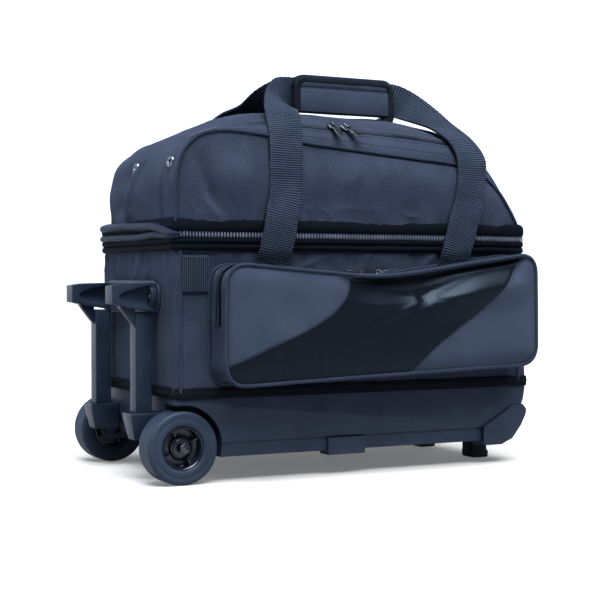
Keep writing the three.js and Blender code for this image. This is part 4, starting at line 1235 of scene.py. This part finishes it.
def make_grip_binding():
    """Ribbed tape folded over both edges of the grip and along its crown, with its seams."""
    binding, seams = Soup(), Soup()
    line = grip_edge()
    tangent = unit(np.gradient(line, axis=0))
    inward = xyz(tangent[:, 1], 0, -tangent[:, 0])
    place = lambda y: xyz(line[:, 0], y, line[:, 1])
    rib = 0.28 * np.sin(lengths(line) * TAU / 2.4)
    for side in (-1, 1):
        rows = [place(GRIP_Y + side * (out + (rib if out > GRIP_HALF else 0))) + inward * depth
                for depth, out in GRIP_TAPE]
        binding.grid(np.stack(rows, axis=1), False, True, caps=True)
        stitch_line(seams, place(GRIP_Y + side * 11.7) + inward * 6.6, (0, side, 0), 3.2, 2.3, 0.33)
        level = xyz(np.linspace(GRIP_X0 + 10, GRIP_X1 - 10, 60), GRIP_Y + side * 10.2, GRIP_SEAM_Z)
        stitch_line(seams, level, (0, side, 0), 3.2, 2.3, 0.33)
    rows = [place(GRIP_Y + 9.8 * c) - inward * (0.7 + 0.9 * (1 - c * c) + rib)[:, None]
            for c in np.linspace(-1, 1, 9)]
    top = smooth(line[:, 1], GRIP_Z1 - GRIP_R - 2, GRIP_Z1 - GRIP_R + 4) > 0.5
    strip = np.stack(rows, axis=1)[top]
    under = strip + inward[top][:, None] * 1.4
    binding.grid(np.concatenate([strip, under[:, ::-1]], axis=1), False, True, caps=True)
    piece("grip_binding", binding, "edge_web", "front_strap", outward=True)
    piece("grip_stitches", seams, "dark_thread", "front_strap")


# ---- wheels ----
# Sections as (radius, distance out along the axle).
HUB = [(4.7, 10.4), (9.4, 10.6), (10.6, 9.9), (10.9, 8.2), (12.6, 7.6), (13.2, 6.4), (13.4, 2.6), (15.2, 1.6),
       (21.6, 1.4), (23.2, 2.4), (23.5, 14.6), (24.4, 16.6), (25.4, 17.1), (26.0, 16.5), (26.0, -16.5),
       (24.6, -17.0), (23.5, -14.6), (23.2, -2.4), (15.2, -1.8), (11.0, -3.0), (10.6, -18.0), (9.6, -18.6),
       (4.7, -18.6)]
HUB_BARS, BAR_START, BAR_LENGTH, BAR_WIDTH, BAR_OUT, BAR_IN = 4, 16.2, 8.2, 2.7, 12.6, 14.0


def tyre_section():
    arc = [(40.5 + 4.4 * math.sin(a), 14.8 + 4.4 * math.cos(a)) for a in np.linspace(0, math.pi / 2, 8)]
    face = [(26.3, -16.4), (26.3, 16.4), (27.6, 18.0), (29.4, 19.0), (31.0, 19.2), (36.0, 19.15),
            (36.4, 18.9), (36.9, 19.15)]
    tread = [(44.9, 8), (44.95, 0), (44.9, -8)]
    back = [(r, -w) for r, w in arc[::-1]] + [(36.0, -19.1), (29.4, -19.0), (27.6, -18.0)]
    return face + arc + tread + back


def make_wheels():
    """Tyres, and hubs with short bars on both faces."""
    for name, side in (("front", -1), ("rear", 1)):
        centre, along = np.array((WHEEL_X, side * WHEEL_Y, WHEEL_Z)), np.array([[0, float(side), 0]])
        body = name + "_wheel"
        soup = lathe(Soup(), tyre_section(), centre, along[0], 96)
        piece("wheel_tyre_" + name, soup, "rubber", body, ["tyre_" + name], outward=True)
        soup = lathe(Soup(), HUB, centre, along[0], 96)
        for k in range(HUB_BARS):
            angle = math.radians(29 + 360 / HUB_BARS * k)
            out = np.array([[math.cos(angle), 0, math.sin(angle)]])
            for depth, way in ((BAR_OUT, 1), (BAR_IN, -1)):
                bar = block_template(BAR_WIDTH, BAR_LENGTH, depth, 0.35)
                soup.stamp(bar, centre + out * BAR_START, np.cross(out, along), out, along * way)
        piece("wheel_hub_" + name, soup, "hub", body, ["hub_" + name], outward=True)


# ---- metal rings ----
EYELET = [(3.3, 0.2), (3.6, 1.5), (4.4, 2.2), (5.6, 2.3), (6.9, 1.6), (7.5, 0.5), (7.4, -0.6), (3.4, -1.2)]


def make_eyelets():
    """Two metal rings in the lid's wheel end, each closed by a dark disc of painted shade."""
    curve, normal, bulge = lid_curve(600)
    at = int(np.argmin(np.abs(curve[:, 1] - EYELET_Z) + 1000 * (curve[:, 0] > -200)))
    for name, y in (("front", -119.0), ("middle", -2.0)):
        x = curve[at, 0] + normal[at, 0] * bulge[at] * math.sqrt(1 - (y / HALF_Y) ** 2)
        axis = unit([normal[at, 0], -0.12 if name == "front" else 0.0, normal[at, 1] * 0.9])
        centre = np.array([x, y, EYELET_Z]) + axis * 0.9
        ring = lathe(Soup(), EYELET, centre, axis, 40)
        piece("eyelet_ring_" + name, ring, "nickel", "lid", ["eyelet_" + name], outward=True)
        # Each ring is closed by a dark cloth disc: painted shade where the hole would look dark.
        hole = lathe(Soup(), [(0.02, 0.35), (3.5, 0.3), (3.5, -0.9), (0.02, -0.9)], centre, axis, 24)
        piece("eyelet_shade_disc_" + name, hole, "dark_web", "lid", outward=True)


# ---- inside the compartment ----
def make_divider():
    """Quilted pad between the balls, with a round edge."""
    y, z = np.meshgrid(np.linspace(-DIVIDER_Y, DIVIDER_Y, 80), np.linspace(DIVIDER_LOW, DIVIDER_HIGH, 70),
                       indexing="ij")
    edge = np.minimum(DIVIDER_Y - np.abs(y), np.minimum(z - DIVIDER_LOW, DIVIDER_HIGH - z))
    puff = 1.6 + 2.0 * pillow(edge, 20, 2) + 0.4 * ripple(y, z, 60, 151)
    row = np.mod(z - DIVIDER_LOW, QUILT_PITCH)
    quilt = 1.3 * (hump(row, QUILT_PITCH, 2.2) + hump(row, 0, 2.2)) * (edge > 4)
    thick = np.clip(puff - quilt, 0.8, 3.9)
    soup = Soup().grid(xyz(thick, y, z)).grid(xyz(-thick, y, z)[::-1])
    corners = [(0, -DIVIDER_Y, DIVIDER_LOW), (0, DIVIDER_Y, DIVIDER_LOW), (0, DIVIDER_Y, DIVIDER_HIGH),
               (0, -DIVIDER_Y, DIVIDER_HIGH)]
    tube(soup, resample(closed(corners), 4)[0][:-1], 2.3, 8, ring=True)
    obj = piece("divider_pad", soup, "lining", "bag", ["ball_divider"])


CUP = [(36, 0.2), (34.2, 1.4), (34.4, 3.0), (40, 5.4), (50, 10.2), (59, 15.6), (64.4, 19.6), (67, 20.2),
       (70.4, 19.4), (71.8, 17), (72, 3), (71, 0.8), (68, 0.1), (50, 0)]


def make_cups():
    for name, side in (("left", -1), ("right", 1)):
        soup = lathe(Soup(), CUP, (side * CUP_X, 0, CUP_Z), (0, 0, 1), 72)
        obj = piece("cup_ring_" + name, soup, "foam", "bag", ["ball_cup_" + name], outward=True)


def make_hinge_cover():
    """Cloth strip across the rear seam, where the lid turns."""
    x, v = np.meshgrid(np.linspace(-214, 214, 110), np.linspace(0, 1, 16), indexing="ij")
    z = 281 + 46 * v
    y = 149.4 - 3.2 * np.abs(2 * v - 1) ** 2.6 + 0.35 * ripple(x, z * 2, 60, 161)
    obj = piece("hinge_cover", Soup().grid(xyz(x, y, z)[::-1]), "trim", None)
    thicken(obj, 1.2)
    bend(obj, "lid", (0, 149, 296), (0, 149, 306))


# ---- CAD shapes kept, with softened edges ----
def softened(node, name, material, body, width, segments=3, angle=28, flare=0.0):
    """The CAD shape with merged faces and rounded edges."""
    work = bmesh.new()
    work.from_mesh(bpy.data.objects[node].data)
    bmesh.ops.remove_doubles(work, verts=work.verts, dist=2e-5)
    bmesh.ops.dissolve_limit(work, angle_limit=math.radians(1.5), verts=work.verts, edges=work.edges)
    if flare:
        for vert in work.verts:
            x, z = (vert.co.x - ORIGIN[0]) / MM, vert.co.z / MM
            vert.co.x += flare * MM * float(smooth(x, *FLARE_X) * smooth(z, *FLARE_FOOT))
    mesh = bpy.data.meshes.new(name)
    work.to_mesh(mesh)
    work.free()
    mesh.polygons.foreach_set("use_smooth", [True] * len(mesh.polygons))
    mesh.materials.clear()
    mesh.materials.append(MATERIALS[material])
    obj = new_object(name, mesh)
    bevel = obj.modifiers.new("edges", "BEVEL")
    bevel.width = width * MM
    bevel.segments = segments
    bevel.limit_method = "ANGLE"
    bevel.angle_limit = math.radians(angle)
    bevel.harden_normals = True
    bevel.use_clamp_overlap = True
    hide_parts(node)
    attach(obj, body)
    return obj


def make_hard_parts():
    softened("tray", "tray_moulding", "tray", "bag", 1.4, flare=FLARE)
    softened("base_board", "base_panel", "board", "bag", 1.5)
    softened("shoe_floor", "shoe_shelf", "board", "lid", 1.2)
    softened("handle_head", "tow_handle", "handle", "handle", 1.0)
    softened("dock_plate", "handle_dock", "handle", "bag", 1.6)
    for end in ("front", "rear"):
        softened("corner_skid_" + end, "skid_" + end, "tray", "bag", 4.0, 4)
        softened("foot_" + end, "foot_block_" + end, "foot", "bag", 1.0)
        softened("axle_bolt_" + end, "bolt_" + end, "bolt", "bag", 0.7)
        softened("socket_" + end, "post_socket_" + end, "handle", "bag", 1.0)
        softened("post_" + end, "handle_post_" + end, "handle", "handle", 1.2)
        softened("head_screw_" + end, "handle_screw_" + end, "bolt", "handle", 0.3)
        for stage in ("tube_a", "tube_b", "tube_c", "rod"):
            body = "bag" if stage == "rod" else stage.replace("tube", "tube_stage")
            softened(stage + "_" + end, "stage_" + stage + "_" + end, "tube", body, 0.8)
    for name in ("top_left", "top_right", "pocket_left", "pocket_right", "main_front", "main_rear"):
        softened("slider_" + name, "zip_body_" + name, "gunmetal", "slider_" + name, 0.5, 2)
        softened("pull_" + name, "zip_pull_" + name, "gunmetal", "pull_" + name, 0.35, 2)


# ---- stage ----
def place_camera():
    data = bpy.data.cameras.new("camera")
    data.lens = CAMERA_LENS
    data.sensor_width = 36.0
    camera = new_object("camera", data)
    camera.location = tuple(metres(CAMERA_MM))
    camera.rotation_euler = Euler([math.radians(angle) for angle in CAMERA_TURN])
    bpy.context.scene.camera = camera


def make_floor():
    mesh = bpy.data.meshes.new("floor")
    corners = [(x * FLOOR_REACH, y * FLOOR_REACH, 0) for x, y in ((-1, -1), (1, -1), (1, 1), (-1, 1))]
    mesh.from_pydata(corners, [], [(0, 1, 2, 3)])
    nodes = Nodes("pale_floor")
    tone = nodes.ramp(nodes.noise(nodes.coordinates("Object"), 3.0, 2.0), 0, 1)
    nodes.link(nodes.mix(tone, rgba(FLOOR_DARK), rgba(FLOOR_LIGHT)), nodes.shader.inputs["Base Color"])
    # The floor glows a little: painted light that makes its cast shadow lighter.
    mesh.materials.append(finish(nodes, Roughness=0.9, Specular_IOR_Level=0.1, Emission_Color=rgba((1, 1, 1)),
                                 Emission_Strength=FLOOR_GLOW))
    floor = new_object("floor", mesh)
    floor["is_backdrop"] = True


def sky_step(tree, direction, axis, values):
    """Smooth step of the direction's part along an axis: from, to, and the two levels."""
    part = tree.nodes.new("ShaderNodeVectorMath")
    part.operation = "DOT_PRODUCT"
    part.inputs[1].default_value = axis
    step = tree.nodes.new("ShaderNodeMapRange")
    step.interpolation_type = "SMOOTHSTEP"
    tree.links.new(direction, part.inputs[0])
    tree.links.new(part.outputs["Value"], step.inputs["Value"])
    for socket, value in zip(("From Min", "From Max", "To Min", "To Max"), values):
        step.inputs[socket].default_value = value
    return step.outputs["Result"]


def make_sky():
    """Studio light: bright from low down, darker overhead, and brighter from one side."""
    world = bpy.data.worlds.new("studio")
    bpy.context.scene.world = world
    world.use_nodes = True
    tree = world.node_tree
    direction = tree.nodes.new("ShaderNodeTexCoord").outputs["Generated"]
    strength = tree.nodes.new("ShaderNodeMath")
    strength.operation = "MULTIPLY"
    tree.links.new(sky_step(tree, direction, (0, 0, 1), SKY_HEIGHT), strength.inputs[0])
    tree.links.new(sky_step(tree, direction, SKY_SIDE, SKY_ROUND), strength.inputs[1])
    tree.links.new(strength.outputs[0], tree.nodes["Background"].inputs["Strength"])
    tree.nodes["Background"].inputs["Color"].default_value = SKY_COLOR


def make_lights():
    key = bpy.data.lights.new("key", "SUN")
    key.energy = KEY_STRENGTH
    key.angle = math.radians(KEY_SPREAD)
    new_object("key", key).rotation_euler = Vector(KEY_TOWARDS).to_track_quat("Z", "Y").to_euler()
    rim = bpy.data.lights.new("rim", "AREA")
    rim.size = RIM_SIZE
    rim.energy = RIM_POWER
    rim.color = RIM_COLOR
    light = new_object("rim", rim)
    light.location = RIM_PLACE
    light.rotation_euler = (Vector(RIM_AIM) - Vector(RIM_PLACE)).to_track_quat("-Z", "Y").to_euler()
    bpy.context.scene.view_settings.view_transform = "Standard"
    bpy.context.scene.view_settings.look = "High Contrast"


place_camera()
make_floor()
make_sky()
make_lights()
make_lower_shell()
make_lining()
make_binding()
make_main_zip()
make_end_rolls()
make_corner_piping()
make_lid_cover()
make_front_panel()
make_rear_panel()
make_lid_trim()
make_pocket()
make_pocket_trim()
make_strap("front_strap", FRONT_STRAP)
make_strap("rear_strap", REAR_STRAP)
make_patch()
make_grip_cushion()
make_grip_binding()
make_wheels()
make_eyelets()
make_divider()
make_cups()
make_hinge_cover()
make_hard_parts()

{"cad": cad_box, "visual": [list(corner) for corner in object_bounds()]}
